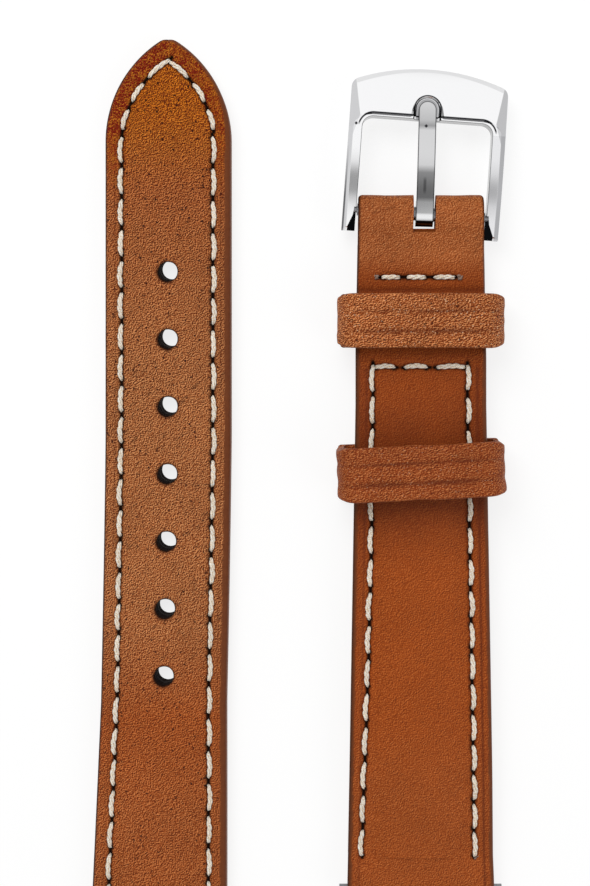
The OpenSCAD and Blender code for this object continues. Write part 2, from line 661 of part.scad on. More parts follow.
module long_bar_tube() { on_long_bar() bar_tube(lug_bar_r, lug_tube_half); }
module long_bar_spring() { on_long_bar() bar_spring(lug_tube_half); }
module long_bar_tip_left() { on_long_bar() left() bar_tip(lug_tube_half, lug_hw); }
module long_bar_tip_right() { on_long_bar() bar_tip(lug_tube_half, lug_hw); }
module short_bar_tube() { on_short_bar() bar_tube(lug_bar_r, lug_tube_half); }
module short_bar_spring() { on_short_bar() bar_spring(lug_tube_half); }
module short_bar_tip_left() { on_short_bar() left() bar_tip(lug_tube_half, lug_hw); }
module short_bar_tip_right() { on_short_bar() bar_tip(lug_tube_half, lug_hw); }
module buckle_bar_tube() { on_buckle_bar(buckle_skew) bar_tube(buckle_bar_r, buckle_tube_half); }
module buckle_bar_spring() { on_buckle_bar(buckle_skew) bar_spring(buckle_tube_half); }
module buckle_bar_tip_left() { on_buckle_bar(buckle_skew) left() bar_tip(buckle_tube_half, buckle_span); }
module buckle_bar_tip_right() { on_buckle_bar(buckle_skew) bar_tip(buckle_tube_half, buckle_span); }

// Frame of the buckle, about the bar's axis. Its band bows upwards between heel and far edge.
frame_half_t = frame_t / 2;
heel = [frame_half_t - leg_end, 0];
far = [frame_reach, 1.04 * frame_half_t - buckle_z];
bow = arc_centre(heel, far, bow_radius);
frame_hw = buckle_inner / 2 + leg_width;
function bow_z(y, r) = bow.y + sqrt(r * r - pow(y - bow.x, 2));
leg_top_r = bow_radius + frame_half_t;
bar_top_r = leg_top_r + bar_rise;
function bar_top(y) = bow_z(y, bar_top_r);
window_end = frame_reach - bar_depth;
window_r = 1.2;
corner_r = 1.1;
notch_w = tongue_width + 0.5;
notch_depth = 0.95;
notch_reach = tongue_reach + 0.35;
hollow_floor = -0.45;
corner_x = buckle_inner / 2 - window_r;
corner_y = window_end - window_r;
notch_floor = bow_z(window_end + 0.9, leg_top_r) - notch_depth;
tongue_shift = 0.36;
ring_r = fold_r;
tongue_bow = 1.3 * bow_radius;
ring_out = ring_r + 0.55;
slot_end = ring_out + 0.17;

// Rounds a corner of the far edge, on the side +X
module corner_cut() {
    arch = frame_reach - arch_radius;
    cx = frame_hw - corner_r;
    cy = arch + sqrt(pow(arch_radius - corner_r, 2) - cx * cx);
    difference() {
        translate([0, 0, -8]) linear_extrude(16)
            polygon([[cx, cy], [frame_hw + 1, cy], [frame_hw + 1, cy + 3], [cx + 3 * cx / (cy - arch), cy + 3]]);
        translate([cx, cy, -9]) cylinder(r = corner_r, h = 18, $fn = 48);
    }
}

// Space between the legs
module window() {
    half = buckle_inner / 2;
    translate([-half, -leg_end - 2, -9]) cube([2 * half, corner_y + leg_end + 2, 18]);
    translate([-corner_x, 0, -9]) cube([2 * corner_x, window_end, 18]);
    for (side = [-1, 1]) translate([side * corner_x, corner_y, -9])
        cylinder(r = window_r, h = 18, $fn = 48);
}

// The bowed band as a ring about the axis of its bow, bevelled along both outer edges
module frame_band() {
    side = leg_top_r - 0.62 * bevel;
    translate([0, bow.x, bow.y]) rotate([0, 90, 0]) rotate_extrude($fn = 360) polygon([
        [bow_radius - frame_half_t, -frame_hw], [side, -frame_hw], [leg_top_r, bevel - frame_hw],
        [leg_top_r, frame_hw - bevel], [side, frame_hw], [bow_radius - frame_half_t, frame_hw]]);
}

// The raised broad bar, whose near edge bends down over the legs beside the window
module broad_bar() {
    edge = [for (a = [0:7.5:90]) [corner_x + (window_r + frame_hw - bevel - buckle_inner / 2) * cos(a),
        corner_y + (window_r + ledge_w) * sin(a)]];
    intersection() {
        translate([0, bow.x, bow.y]) rotate([0, 90, 0]) rotate_extrude($fn = 360)
            polygon([[bow_radius - 0.1, -frame_hw], [bar_top_r, -frame_hw], [bar_top_r, frame_hw],
                [bow_radius - 0.1, frame_hw]]);
        translate([0, 0, -8]) linear_extrude(16) polygon(concat([[frame_hw + 1, frame_reach + 1],
            [frame_hw + 1, corner_y]], edge, mirrored(edge), [[-frame_hw - 1, corner_y],
            [-frame_hw - 1, frame_reach + 1]]));
    }
}

// Rounds the ends of the legs, seen from the side
module heel_cut() {
    r = 1.3 * frame_half_t;
    difference() {
        translate([-frame_hw - 1, -leg_end - 2, -8]) cube([2 * frame_hw + 2, 2 + 0.75 * frame_half_t, 16]);
        translate([-frame_hw - 2, r - leg_end, 0]) rotate([0, 90, 0]) cylinder(r = r, h = 2 * frame_hw + 4, $fn = 48);
    }
}

// Seat for the tip of the tongue, with a chamfered mouth
module tongue_notch() {
    side = (tongue_reach - 1) * sin(buckle_skew - tongue_skew);
    centre = notch_reach - notch_w / 2;
    lip = bar_top(notch_reach) - notch_chamfer;
    translate([tongue_shift - side, 0, 0]) {
        translate([-notch_w / 2, window_end - 1, notch_floor]) cube([notch_w, centre - window_end + 1, 6]);
        translate([0, centre, notch_floor]) cylinder(d = notch_w, h = 6, $fn = 48);
        translate([-notch_w / 2 - 0.22, window_end - 1, notch_floor + 0.3]) cube([notch_w + 0.44, 1.28, 6]);
        translate([0, centre, lip]) cylinder(r1 = notch_w / 2, r2 = notch_w / 2 + 1, h = 1, $fn = 48);
        translate([0, centre, lip]) rotate([90, 0, 0]) linear_extrude(centre - window_end + 1) polygon([
            [-notch_w / 2, 0], [notch_w / 2, 0], [notch_w / 2 + 1, 1], [-notch_w / 2 - 1, 1]]);
    }
}

// Facet at the end +X of the broad bar, which runs into the bevel of the leg
module side_facet() {
    far_x = frame_hw - 0.5;
    far_y = frame_reach - arch_radius + sqrt(pow(arch_radius, 2) - pow(far_x, 2)) - 0.3;
    near = [frame_hw - facet_width, window_end, bar_top(window_end)];
    d = [far_x, far_y, bar_top(far_y)] - near;
    intersection() {
        translate(near) rotate([0, 0, -atan2(d.x, d.y)]) rotate([atan2(d.z, norm([d.x, d.y])), 0, 0])
            rotate([0, facet_angle, 0]) translate([0, -4, 0]) cube([4, 12, 4]);
        translate([0, corner_y, -8]) cube([frame_hw + 2, frame_reach, 16]);
    }
}

// Bevel along the arched far edge, on a cone that leans with the bowed band
module arch_bevel() {
    near = frame_reach - arch_bevel_width;
    lean = near - 2;
    inner_r = arch_radius - arch_bevel_width;
    translate([0, near, bar_top(near)]) rotate([atan2(bow.x - lean, bar_top(lean) - bow.y), 0, 0])
        translate([0, -inner_r, 0]) rotate_extrude($fn = 180)
            polygon([[inner_r - 1, 0.28], [inner_r + 1.5, -0.42], [inner_r + 1.5, 3], [inner_r - 1, 3]]);
}

// The inner side of each leg is cut away towards its end
module leg_cuts() {
    for (side = [-1, 1]) translate([side * buckle_inner / 2, -0.7, hollow_floor])
        linear_extrude(8) polygon([[-side, 0.9], [side * 0.22, 0.9], [side * 0.34, 0], [side * 0.85, -leg_end + 1.15],
            [side * 0.85, -leg_end], [-side, -leg_end]]);
}

module buckle_frame() {
    color(steel) on_buckle_bar(buckle_skew) difference() {
        intersection() {
            union() {
                frame_band();
                broad_bar();
            }
            translate([-frame_hw - 1, -leg_end - 0.2, -8]) cube([2 * frame_hw + 2, frame_reach + 5, 16]);
            translate([0, frame_reach - arch_radius, -8]) cylinder(r = arch_radius, h = 16, $fn = 180);
        }
        corner_cut();
        mirror([1, 0, 0]) corner_cut();
        window();
        heel_cut();
        tongue_notch();
        arch_bevel();
        side_facet();
        mirror([1, 0, 0]) side_facet();
        leg_cuts();
        for (side = [-1, 1]) translate([side * (buckle_span - 0.3), 0, 0]) rotate([0, side * 90, 0])
            cylinder(r = pivot_d / 2 + leg_bore_play, h = 0.3 + pivot_length + 0.15, $fn = 48);
    }
}

// Tongue: a ring round the bar and a bowed blade whose round tip lies in the notch
module buckle_tongue() {
    tongue_low = notch_floor + 0.04;
    p = [0, (ring_r + ring_out) / 2 + 0.04];
    q = [tongue_reach, tongue_low + tongue_t / 2];
    c = arc_centre(p, q, tongue_bow);
    r = tongue_width / 2;
    color(steel) on_buckle_bar(tongue_skew) translate([tongue_shift, 0, 0]) intersection() {
        rotate([90, 0, 90]) translate([0, 0, -r]) linear_extrude(2 * r) {
            difference() {
                circle(r = ring_out, $fn = 96);
                circle(r = ring_r, $fn = 96);
                polygon([[0, 0], [-2.4, -1.1], [-1.2, -2.4]]);
            }
            intersection() {
                difference() {
                    translate(c) circle(r = tongue_bow + tongue_t / 2, $fn = 360);
                    translate(c) circle(r = tongue_bow - tongue_t / 2, $fn = 360);
                    circle(r = ring_r, $fn = 96);
                }
                translate([0, -2]) square([tongue_reach, 8]);
            }
        }
        union() {
            translate([-r, -3, -4]) cube([2 * r, tongue_reach + 3 - r, 8]);
            translate([0, tongue_reach - r, -4]) cylinder(r = r, h = 8, $fn = 48);
        }
    }
}

long_upper();
long_lining();
long_interlining();
long_padding();
long_stitching();
long_bar_tube();
long_bar_spring();
long_bar_tip_left();
long_bar_tip_right();
short_upper();
short_lining();
short_interlining();
short_padding();
short_stitching();
cross_stitching();
fixed_keeper();
free_keeper();
short_bar_tube();
short_bar_spring();
short_bar_tip_left();
short_bar_tip_right();
buckle_frame();
buckle_tongue();
buckle_bar_tube();
buckle_bar_spring();
buckle_bar_tip_left();
buckle_bar_tip_right();
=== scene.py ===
"""Looks of a two-piece leather watch strap with a pin buckle. Sizes in the shape code are millimetres."""
import math
from collections import namedtuple
import bpy
import numpy as np
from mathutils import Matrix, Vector

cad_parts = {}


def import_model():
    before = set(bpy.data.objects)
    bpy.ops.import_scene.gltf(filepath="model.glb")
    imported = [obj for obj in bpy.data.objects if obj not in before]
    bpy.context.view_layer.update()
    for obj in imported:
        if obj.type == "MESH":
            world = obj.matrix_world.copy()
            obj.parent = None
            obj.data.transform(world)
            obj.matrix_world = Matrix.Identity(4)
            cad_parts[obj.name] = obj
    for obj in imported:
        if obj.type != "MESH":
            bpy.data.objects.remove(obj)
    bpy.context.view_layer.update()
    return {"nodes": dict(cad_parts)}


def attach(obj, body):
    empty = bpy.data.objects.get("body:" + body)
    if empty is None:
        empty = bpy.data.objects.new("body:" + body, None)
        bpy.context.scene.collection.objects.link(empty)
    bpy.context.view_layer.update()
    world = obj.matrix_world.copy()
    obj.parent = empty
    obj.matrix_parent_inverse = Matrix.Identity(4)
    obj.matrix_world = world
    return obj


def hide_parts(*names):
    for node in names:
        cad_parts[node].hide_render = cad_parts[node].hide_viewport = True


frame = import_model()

MM = 0.001

# Values of the strap, as in its CAD source
UPPER_T = 1.1
LINING_T = 0.8
GLUE = 0.05
LONG_MID_T = 0.45
SHORT_MID_T = 0.8
FLAP_T = 0.5
LOOP_T = 0.9
FOLD_T = 0.8
LONG_LENGTH = 120.25
TIP_Y = LONG_LENGTH / 2
TAIL_HW = 6.85
LUG_HW = 7.95
TIP_R = 13.05
ARCH_Y = TIP_Y - math.sqrt(TIP_R ** 2 - (TIP_R - TAIL_HW + 0.65) ** 2)
NOSE_R = 2.29
BODY_HW = 7.075
FOLD_HW = 6.8
STITCH_INSET = 1.8
TIP_INSET = 2.4
APEX_Y = ARCH_Y + math.sqrt((TIP_R - TIP_INSET) ** 2 - (TIP_R - TAIL_HW) ** 2)
LOOP_R = 0.88
LOOP_OUT = LOOP_R + LOOP_T
LONG_BAR_Y = -TIP_Y + LOOP_OUT
FLARE_Y = 48 - TIP_Y
DRIFT_Y = LONG_LENGTH / 7
DRIFT = 1.65
LONG_X = -12.925
SHORT_X = 14.575
LONG_EDGE_Z = LINING_T + GLUE + LONG_MID_T + GLUE
LUG_CLOSE = 3.4
LUG_FLAP = 9.0
HOLE_R = 1.05
HOLE_YS = [TIP_Y - 25.3 - 7.34 * k for k in range(7)]
LONG_T = LONG_EDGE_Z + UPPER_T
# The holes were punched aslant: their lower ends lie this far to the upper right
HOLE_SLANT = (0.27, 0.28)
SHORT_BASE = 1.1
BUCKLE_Y = 41.05
SHORT_BAR_Y = BUCKLE_Y - 73.4
FOLD_R = 0.83
BUCKLE_Z = SHORT_BASE + FOLD_R + FOLD_T
BUCKLE_SKEW = 4.2
# How far the fold's end lies off the bar's middle, since the buckle sits askew
FOLD_SHIFT = math.sin(math.radians(BUCKLE_SKEW)) * FOLD_HW
FOLD_Y = BUCKLE_Y + FOLD_SHIFT
FIXED_KEEPER_Y = BUCKLE_Y - 11.6
FREE_KEEPER_Y = BUCKLE_Y - 27.7
KEEPER_L = 5.9
KEEPER_X = SHORT_X - 0.1
KEEPER_HW = 8.05
CROSS_Y = FIXED_KEEPER_Y + KEEPER_L / 2 + 1.75
MID_TOP_Y = FIXED_KEEPER_Y - KEEPER_L / 2 - 0.25
U_ROW_Y = MID_TOP_Y - 1.85
SHORT_PAD_Y = U_ROW_Y - 0.7
FOLD_EDGE_Z = LINING_T + GLUE + FLAP_T + GLUE
BODY_EDGE_Z = LINING_T + GLUE + SHORT_MID_T + GLUE
BOARD_Z = LINING_T + GLUE
BOARD_INSET = 0.02
TONGUE_SHIFT = 0.36
TONGUE_SKEW = 1.8
SLOT_HALF = 1.2
WINDOW_HW = 7.05
WINDOW_R = 1.2
WINDOW_END = 10.15
LEDGE_W = 0.33
FRAME_HW = 8.5
FACET_W = 1.15
FACET_LEAN = 0.173
LEG_BEVEL = 0.5
NOTCH_HW = 1.2
NOTCH_CENTRE = 11.35
TONGUE_HW = 0.95
TONGUE_REACH = 12.2
SLOT_END_Y = BUCKLE_Y - 1.68


def ramp(v, a, b):
    return np.clip((np.asarray(v, float) - a) / (b - a), 0, 1)


def smooth(t):
    t = np.clip(t, 0, 1)
    return t * t * (3 - 2 * t)


def ease(v, a, b):
    """0 at a and 1 at b, with a soft start and a soft end."""
    return smooth(ramp(v, a, b))


def bump(v, width):
    return np.exp(-(np.asarray(v, float) / width) ** 2)


def noise(x, y, seed):
    """Smooth value noise from 0 to 1 on a unit lattice."""
    x, y = np.broadcast_arrays(np.asarray(x, float), np.asarray(y, float))
    xi, yi = np.floor(x).astype(np.int64), np.floor(y).astype(np.int64)
    fx, fy = smooth(x - xi), smooth(y - yi)

    def corner(i, j):
        n = (i * 374761393 + j * 668265263 + seed * 974711) & 0xFFFFFFFF
        n = ((n ^ (n >> 13)) * 1274126177) & 0xFFFFFFFF
        return ((n ^ (n >> 16)) & 0xFFFF) / 65535.0

    low = corner(xi, yi) * (1 - fx) + corner(xi + 1, yi) * fx
    high = corner(xi, yi + 1) * (1 - fx) + corner(xi + 1, yi + 1) * fx
    return low * (1 - fy) + high * fy


def sway(x, y, seed, size):
    """Noise to both sides of 0, of a whole size."""
    return (noise(x, y, seed) - 0.5) * size


# Outlines of the two halves
def arch_hw(y, inset):
    return np.sqrt(np.maximum((TIP_R - inset) ** 2 - (y - ARCH_Y) ** 2, 0)) + TAIL_HW - TIP_R


def long_hw(y):
    y = np.asarray(y, float)
    body = TAIL_HW + (LUG_HW - TAIL_HW) * ramp(y, FLARE_Y, -TIP_Y)
    arch = arch_hw(np.minimum(y, TIP_Y), 0)
    nose = np.sqrt(np.maximum(NOSE_R ** 2 - (y - TIP_Y + NOSE_R) ** 2, 0.0004))
    arch = np.where(y > TIP_Y - 0.34, np.minimum(arch, nose), arch)
    return np.where(y > ARCH_Y, arch, body)


def long_cx(y):
    return LONG_X - DRIFT * ramp(y, DRIFT_Y, -TIP_Y) ** 1.25


def long_line(y):
    y = np.asarray(y, float)
    inset = STITCH_INSET + (TIP_INSET - STITCH_INSET) * ramp(y, ARCH_Y, TIP_Y - 1.5)
    arch = np.maximum(arch_hw(y, inset), 0)
    return np.where(y >= APEX_Y, 0, np.where(y > ARCH_Y, arch, long_hw(y) - STITCH_INSET))


def lug_fade(y, bar_y):
    """1 over the padding, fading to 0 where the leather goes round the lug bar."""
    return ease(y, bar_y + 0.9, bar_y + LUG_CLOSE + 0.4)


def long_pad(y):
    swelling = 0.3 + 0.7 * ramp(y, FLARE_Y - 1, LONG_BAR_Y + 12)
    return swelling * ease(y, FLARE_Y + 0.5, FLARE_Y - 2) * lug_fade(y, LONG_BAR_Y)


def short_hw(y):
    y = np.asarray(y, float)
    head = BODY_HW + (FOLD_HW - BODY_HW) * ramp(y, MID_TOP_Y, BUCKLE_Y)
    body = BODY_HW + (LUG_HW - BODY_HW) * ramp(y, MID_TOP_Y - 6, SHORT_BAR_Y)
    return np.where(y > MID_TOP_Y, head, body)


def short_line(y):
    return short_hw(y) - STITCH_INSET


def short_cx(y):
    return SHORT_X + 0 * np.asarray(y, float)


def short_pad(y):
    swelling = 0.6 + 0.4 * ramp(y, SHORT_PAD_Y - 2.5, SHORT_BAR_Y + 12)
    return swelling * ease(y, SHORT_PAD_Y + 0.3, SHORT_PAD_Y - 2.8) * lug_fade(y, SHORT_BAR_Y)


def short_base_z(y):
    return SHORT_BASE * ease(y, SHORT_BAR_Y + 1.4, SHORT_BAR_Y + 15)


def short_edge_z(y):
    rise = (FOLD_EDGE_Z - BODY_EDGE_Z) * ease(y, MID_TOP_Y - 0.75, MID_TOP_Y + 0.3)
    return short_base_z(y) + BODY_EDGE_Z + rise


# A half's body, and along Y its centreline, half width, stitch line, padding, underside and upper's base
Half = namedtuple("Half", "body cx hw line pad base_z edge_z")
LONG = Half("long_half", long_cx, long_hw, long_line, long_pad, lambda y: 0 * y, lambda y: 0 * y + LONG_EDGE_Z)
SHORT = Half("short_half", short_cx, short_hw, short_line, short_pad, short_base_z, short_edge_z)


def swell(x, m):
    return np.maximum(1 - np.abs(x / m) ** 2.5, 0)


def pad_hw(line):
    """Half width of the padding between stitch lines that lie this far from the centreline."""
    return 0.95 * np.maximum(line - 0.45, 0.3)


def dome(half, x, y):
    """How far the padding lifts a half's upper leather."""
    return half.pad(y) * swell(x - half.cx(y), pad_hw(half.line(y)))


# Mesh helpers
def placed(name, data):
    """A new object in the scene."""
    obj = bpy.data.objects.new(name, data)
    bpy.context.scene.collection.objects.link(obj)
    return obj


def new_object(name, made, material, body, nodes, sharp=55):
    """A smooth-shaded mesh from millimetre points, which rides on a body and stands for CAD nodes."""
    points, faces, values = made
    used = np.zeros(len(points), bool)
    for block in faces:
        used[block.ravel()] = True
    index = np.cumsum(used) - 1
    mesh = bpy.data.meshes.new(name)
    mesh.from_pydata((points[used] * MM).tolist(), [], [f for block in faces for f in index[block].tolist()])
    for key, data in values.items():
        mesh.attributes.new(key, "FLOAT", "POINT").data.foreach_set("value", np.asarray(data, np.float32)[used])
    mesh.polygons.foreach_set("use_smooth", np.ones(len(mesh.polygons), bool))
    mesh.set_sharp_from_angle(angle=math.radians(sharp))
    mesh.materials.append(material)
    mesh.update()
    obj = placed(name, mesh)
    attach(obj, body)
    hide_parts(*nodes)


def shell(top, bottom, keep, levels, values):
    """Closed sheet between two grids of points, as points, faces and values.

    keep says which cells are there, and walls close every border. A value holds for the upper face only, or is
    given for the upper face, the lower face and the walls."""
    rows, cols = top.shape[:2]
    count = rows * cols
    grid = np.arange(count).reshape(rows, cols)
    quads = np.stack([grid[:-1, :-1], grid[1:, :-1], grid[1:, 1:], grid[:-1, 1:]], -1)[keep]
    edges = np.concatenate([quads[:, [k, (k + 1) % 4]] for k in range(4)])
    rim = edges[~np.isin(edges[:, 0] * count + edges[:, 1], edges[:, 1] * count + edges[:, 0])]
    ring = np.unique(rim)
    place = np.zeros(count, int)
    place[ring] = np.arange(len(ring))
    top, bottom = top.reshape(-1, 3), bottom.reshape(-1, 3)
    points = [top, bottom] + [top[ring] * (1 - f) + bottom[ring] * f for f in levels]
    chain = [rim] + [place[rim] + 2 * count + k * len(ring) for k in range(len(levels))] + [rim + count]
    faces = [quads, quads[:, ::-1] + count]
    for upper, lower in zip(chain[:-1], chain[1:]):
        faces.append(np.stack([upper[:, 1], upper[:, 0], lower[:, 0], lower[:, 1]], -1))
    out = {}
    for key, value in values.items():
        parts = value if isinstance(value, tuple) else (value, 0, 0)
        on_top, below, wall = [np.broadcast_to(v, (rows, cols)).reshape(-1) for v in parts]
        out[key] = np.concatenate([on_top, below] + [wall[ring]] * len(levels))
    return np.concatenate(points), faces, out


def sweep(rings):
    """Points and faces of a tube with capped ends, through rings of equal counts."""
    n, m = rings.shape[:2]
    grid = np.arange(n * m).reshape(n, m)
    nxt = np.roll(grid, -1, axis=1)
    points = np.concatenate([rings.reshape(-1, 3), rings[:1].mean(1), rings[-1:].mean(1)])
    quads = np.stack([grid[:-1], nxt[:-1], nxt[1:], grid[1:]], -1).reshape(-1, 4)
    head = np.stack([nxt[0], grid[0], np.full(m, n * m)], -1)
    tail = np.stack([grid[-1], nxt[-1], np.full(m, n * m + 1)], -1)
    return points, [quads, head, tail]


def tube(path, radius, side, over, count):
    """Points and faces of a round tube along a path. side and over are its two crosswise directions."""
    angles = 2 * math.pi * np.arange(count) / count
    return sweep(np.stack([path + radius * (math.cos(b) * side + math.sin(b) * over) for b in angles], 1))


def joined(parts):
    """One set of points and faces from several."""
    points, blocks, start = [], {}, 0
    for p, faces in parts:
        points.append(p)
        for f in faces:
            blocks.setdefault(f.shape[1], []).append(f + start)
        start += len(p)
    return np.concatenate(points), [np.concatenate(b) for b in blocks.values()]


def unit(v):
    """A table of vectors, each made one long."""
    return v / np.linalg.norm(v, axis=1)[:, None]


def turned(points, degrees, centre):
    """Points turned about Z and moved."""
    c, s = math.cos(math.radians(degrees)), math.sin(math.radians(degrees))
    return points @ np.array([[c, s, 0], [-s, c, 0], [0, 0, 1]]) + np.array(centre)


# Materials
def srgb(r, g, b):
    def line(v):
        v /= 255
        return v / 12.92 if v <= 0.04045 else ((v + 0.055) / 1.055) ** 2.4
    return (line(r), line(g), line(b), 1)


def operation(kind, swapped=False):
    """A method that makes a math node from a value and what stands beside it."""
    def method(self, *other):
        return self.nodes.math(kind, *((*other, self) if swapped else (self, *other)))
    return method


class Value:
    """The output of a shader node, for sums written as with numbers."""
    __add__, __sub__, __rsub__ = operation("ADD"), operation("SUBTRACT"), operation("SUBTRACT", True)
    __mul__, __truediv__, __abs__ = operation("MULTIPLY"), operation("DIVIDE"), operation("ABSOLUTE")
    __gt__, __lt__ = operation("GREATER_THAN"), operation("LESS_THAN")

    def __init__(self, nodes, socket):
        self.nodes, self.socket = nodes, socket


class Nodes:
    """Short hand for building the nodes of a material or a world."""

    def __init__(self, owner, output):
        owner.use_nodes = True
        self.owner, self.tree = owner, owner.node_tree
        self.tree.nodes.clear()
        self.output = self.new(output)

    def new(self, kind):
        return self.tree.nodes.new("ShaderNode" + kind)

    def feed(self, socket, value):
        """Sets or links a socket. Three numbers for a colour are sRGB levels up to 255."""
        if isinstance(value, Value):
            self.tree.links.new(value.socket, socket)
        elif isinstance(value, tuple) and socket.type == "RGBA" and len(value) == 3:
            socket.default_value = srgb(*value)
        else:
            socket.default_value = value

    def fed(self, node, sockets, output=0):
        """Sets or links some sockets of a node, and gives one of its outputs."""
        for key, value in sockets.items():
            self.feed(node.inputs[key], value)
        return Value(self, node.outputs[output])

    def node(self, kind, sockets={}, output=0):
        return self.fed(self.new(kind), sockets, output)

    def show(self, shader):
        self.feed(self.output.inputs["Surface"], shader)

    def ray(self, kind):
        return self.node("LightPath", output=kind)

    def between(self, factor, first, second):
        """A mix of two shaders."""
        return self.node("MixShader", {0: factor, 1: first, 2: second})

    def split(self, vector):
        """The three parts of a vector."""
        node = self.new("SeparateXYZ")
        self.feed(node.inputs[0], vector)
        return [Value(self, socket) for socket in node.outputs]

    def mapped(self, vector, **inputs):
        return self.node("Mapping", {"Vector": vector, **inputs})

    def ramp(self, value, *stops):
        """Colours along a value, as places from 0 to 1 with a colour each."""
        node = self.new("ValToRGB")
        elements = node.color_ramp.elements
        while len(elements) < len(stops):
            elements.new(0.5)
        for element, (where, colour) in zip(elements, stops):
            element.position = where
            element.color = colour if len(colour) == 4 else srgb(*colour)
        return self.fed(node, {0: value})

    def grey(self, value, *stops):
        return self.ramp(value, *[(p, (v, v, v, 1)) for p, v in stops])

    def math(self, kind, *values):
        node = self.new("Math")
        node.operation = kind
        return self.fed(node, dict(enumerate(values)))

    def most(self, first, *others):
        for other in others:
            first = self.math("MAXIMUM", first, other)
        return first

    def reach(self, a, b):
        """Length of the vector a, b."""
        return self.math("SQRT", a * a + b * b)

    def past(self, a, b):
        """How far a lies beyond b, or nothing."""
        return self.most(a - b, 0.0)

    def band(self, a, at, half):
        """1 where a is near a place, fading to 0 at half a width from it."""
        return self.grey(abs(a - at), (0.5 * half, 1.0), (half, 0.0))

    def mix(self, a, b, factor, kind="MIX"):
        node = self.new("Mix")
        node.data_type = "RGBA"
        node.blend_type = kind
        return self.fed(node, {0: factor, 6: a, 7: b}, 2)

    def times(self, a, b, factor=1.0):
        """A colour multiplied by another, as far as the factor says."""
        return self.mix(a, b, factor, "MULTIPLY")


class Surface(Nodes):
    """A material with one principled shader, and with places on the piece in millimetres."""

    def __init__(self, name):
        super().__init__(bpy.data.materials.new(name), "OutputMaterial")
        self.principled = self.new("BsdfPrincipled")
        self.shader = Value(self, self.principled.outputs[0])
        self.show(self.shader)
        place = self.node("TexCoord", output="Object")
        self.place = self.mapped(place, Scale=(1000, 1000, 1000))

    def set(self, **values):
        for key, value in values.items():
            self.feed(self.principled.inputs[key.replace("_", " ")], value)

    def scaled(self, scale):
        return self.mapped(self.place, Scale=scale)

    def local(self, x, y, angle):
        """Places along X and Y from a point, in axes turned by an angle, in millimetres."""
        moved = self.mapped(self.place, Location=(-x, -y, 0))
        return self.split(self.mapped(moved, Rotation=(0, 0, math.radians(angle))))[:2]

    def noise(self, scale, detail=2.0, rough=0.5, place=None):
        sockets = {"Scale": scale, "Detail": detail, "Roughness": rough, "Vector": place or self.place}
        return self.node("TexNoise", sockets)

    def cells(self, scale):
        return self.node("TexVoronoi", {"Scale": scale, "Vector": self.place}, "Distance")

    def attribute(self, name):
        node = self.new("Attribute")
        node.attribute_name = name
        return self.fed(node, {}, "Fac")

    def bump(self, height, distance):
        return self.node("Bump", {"Strength": 1.0, "Distance": distance * MM, "Height": height})


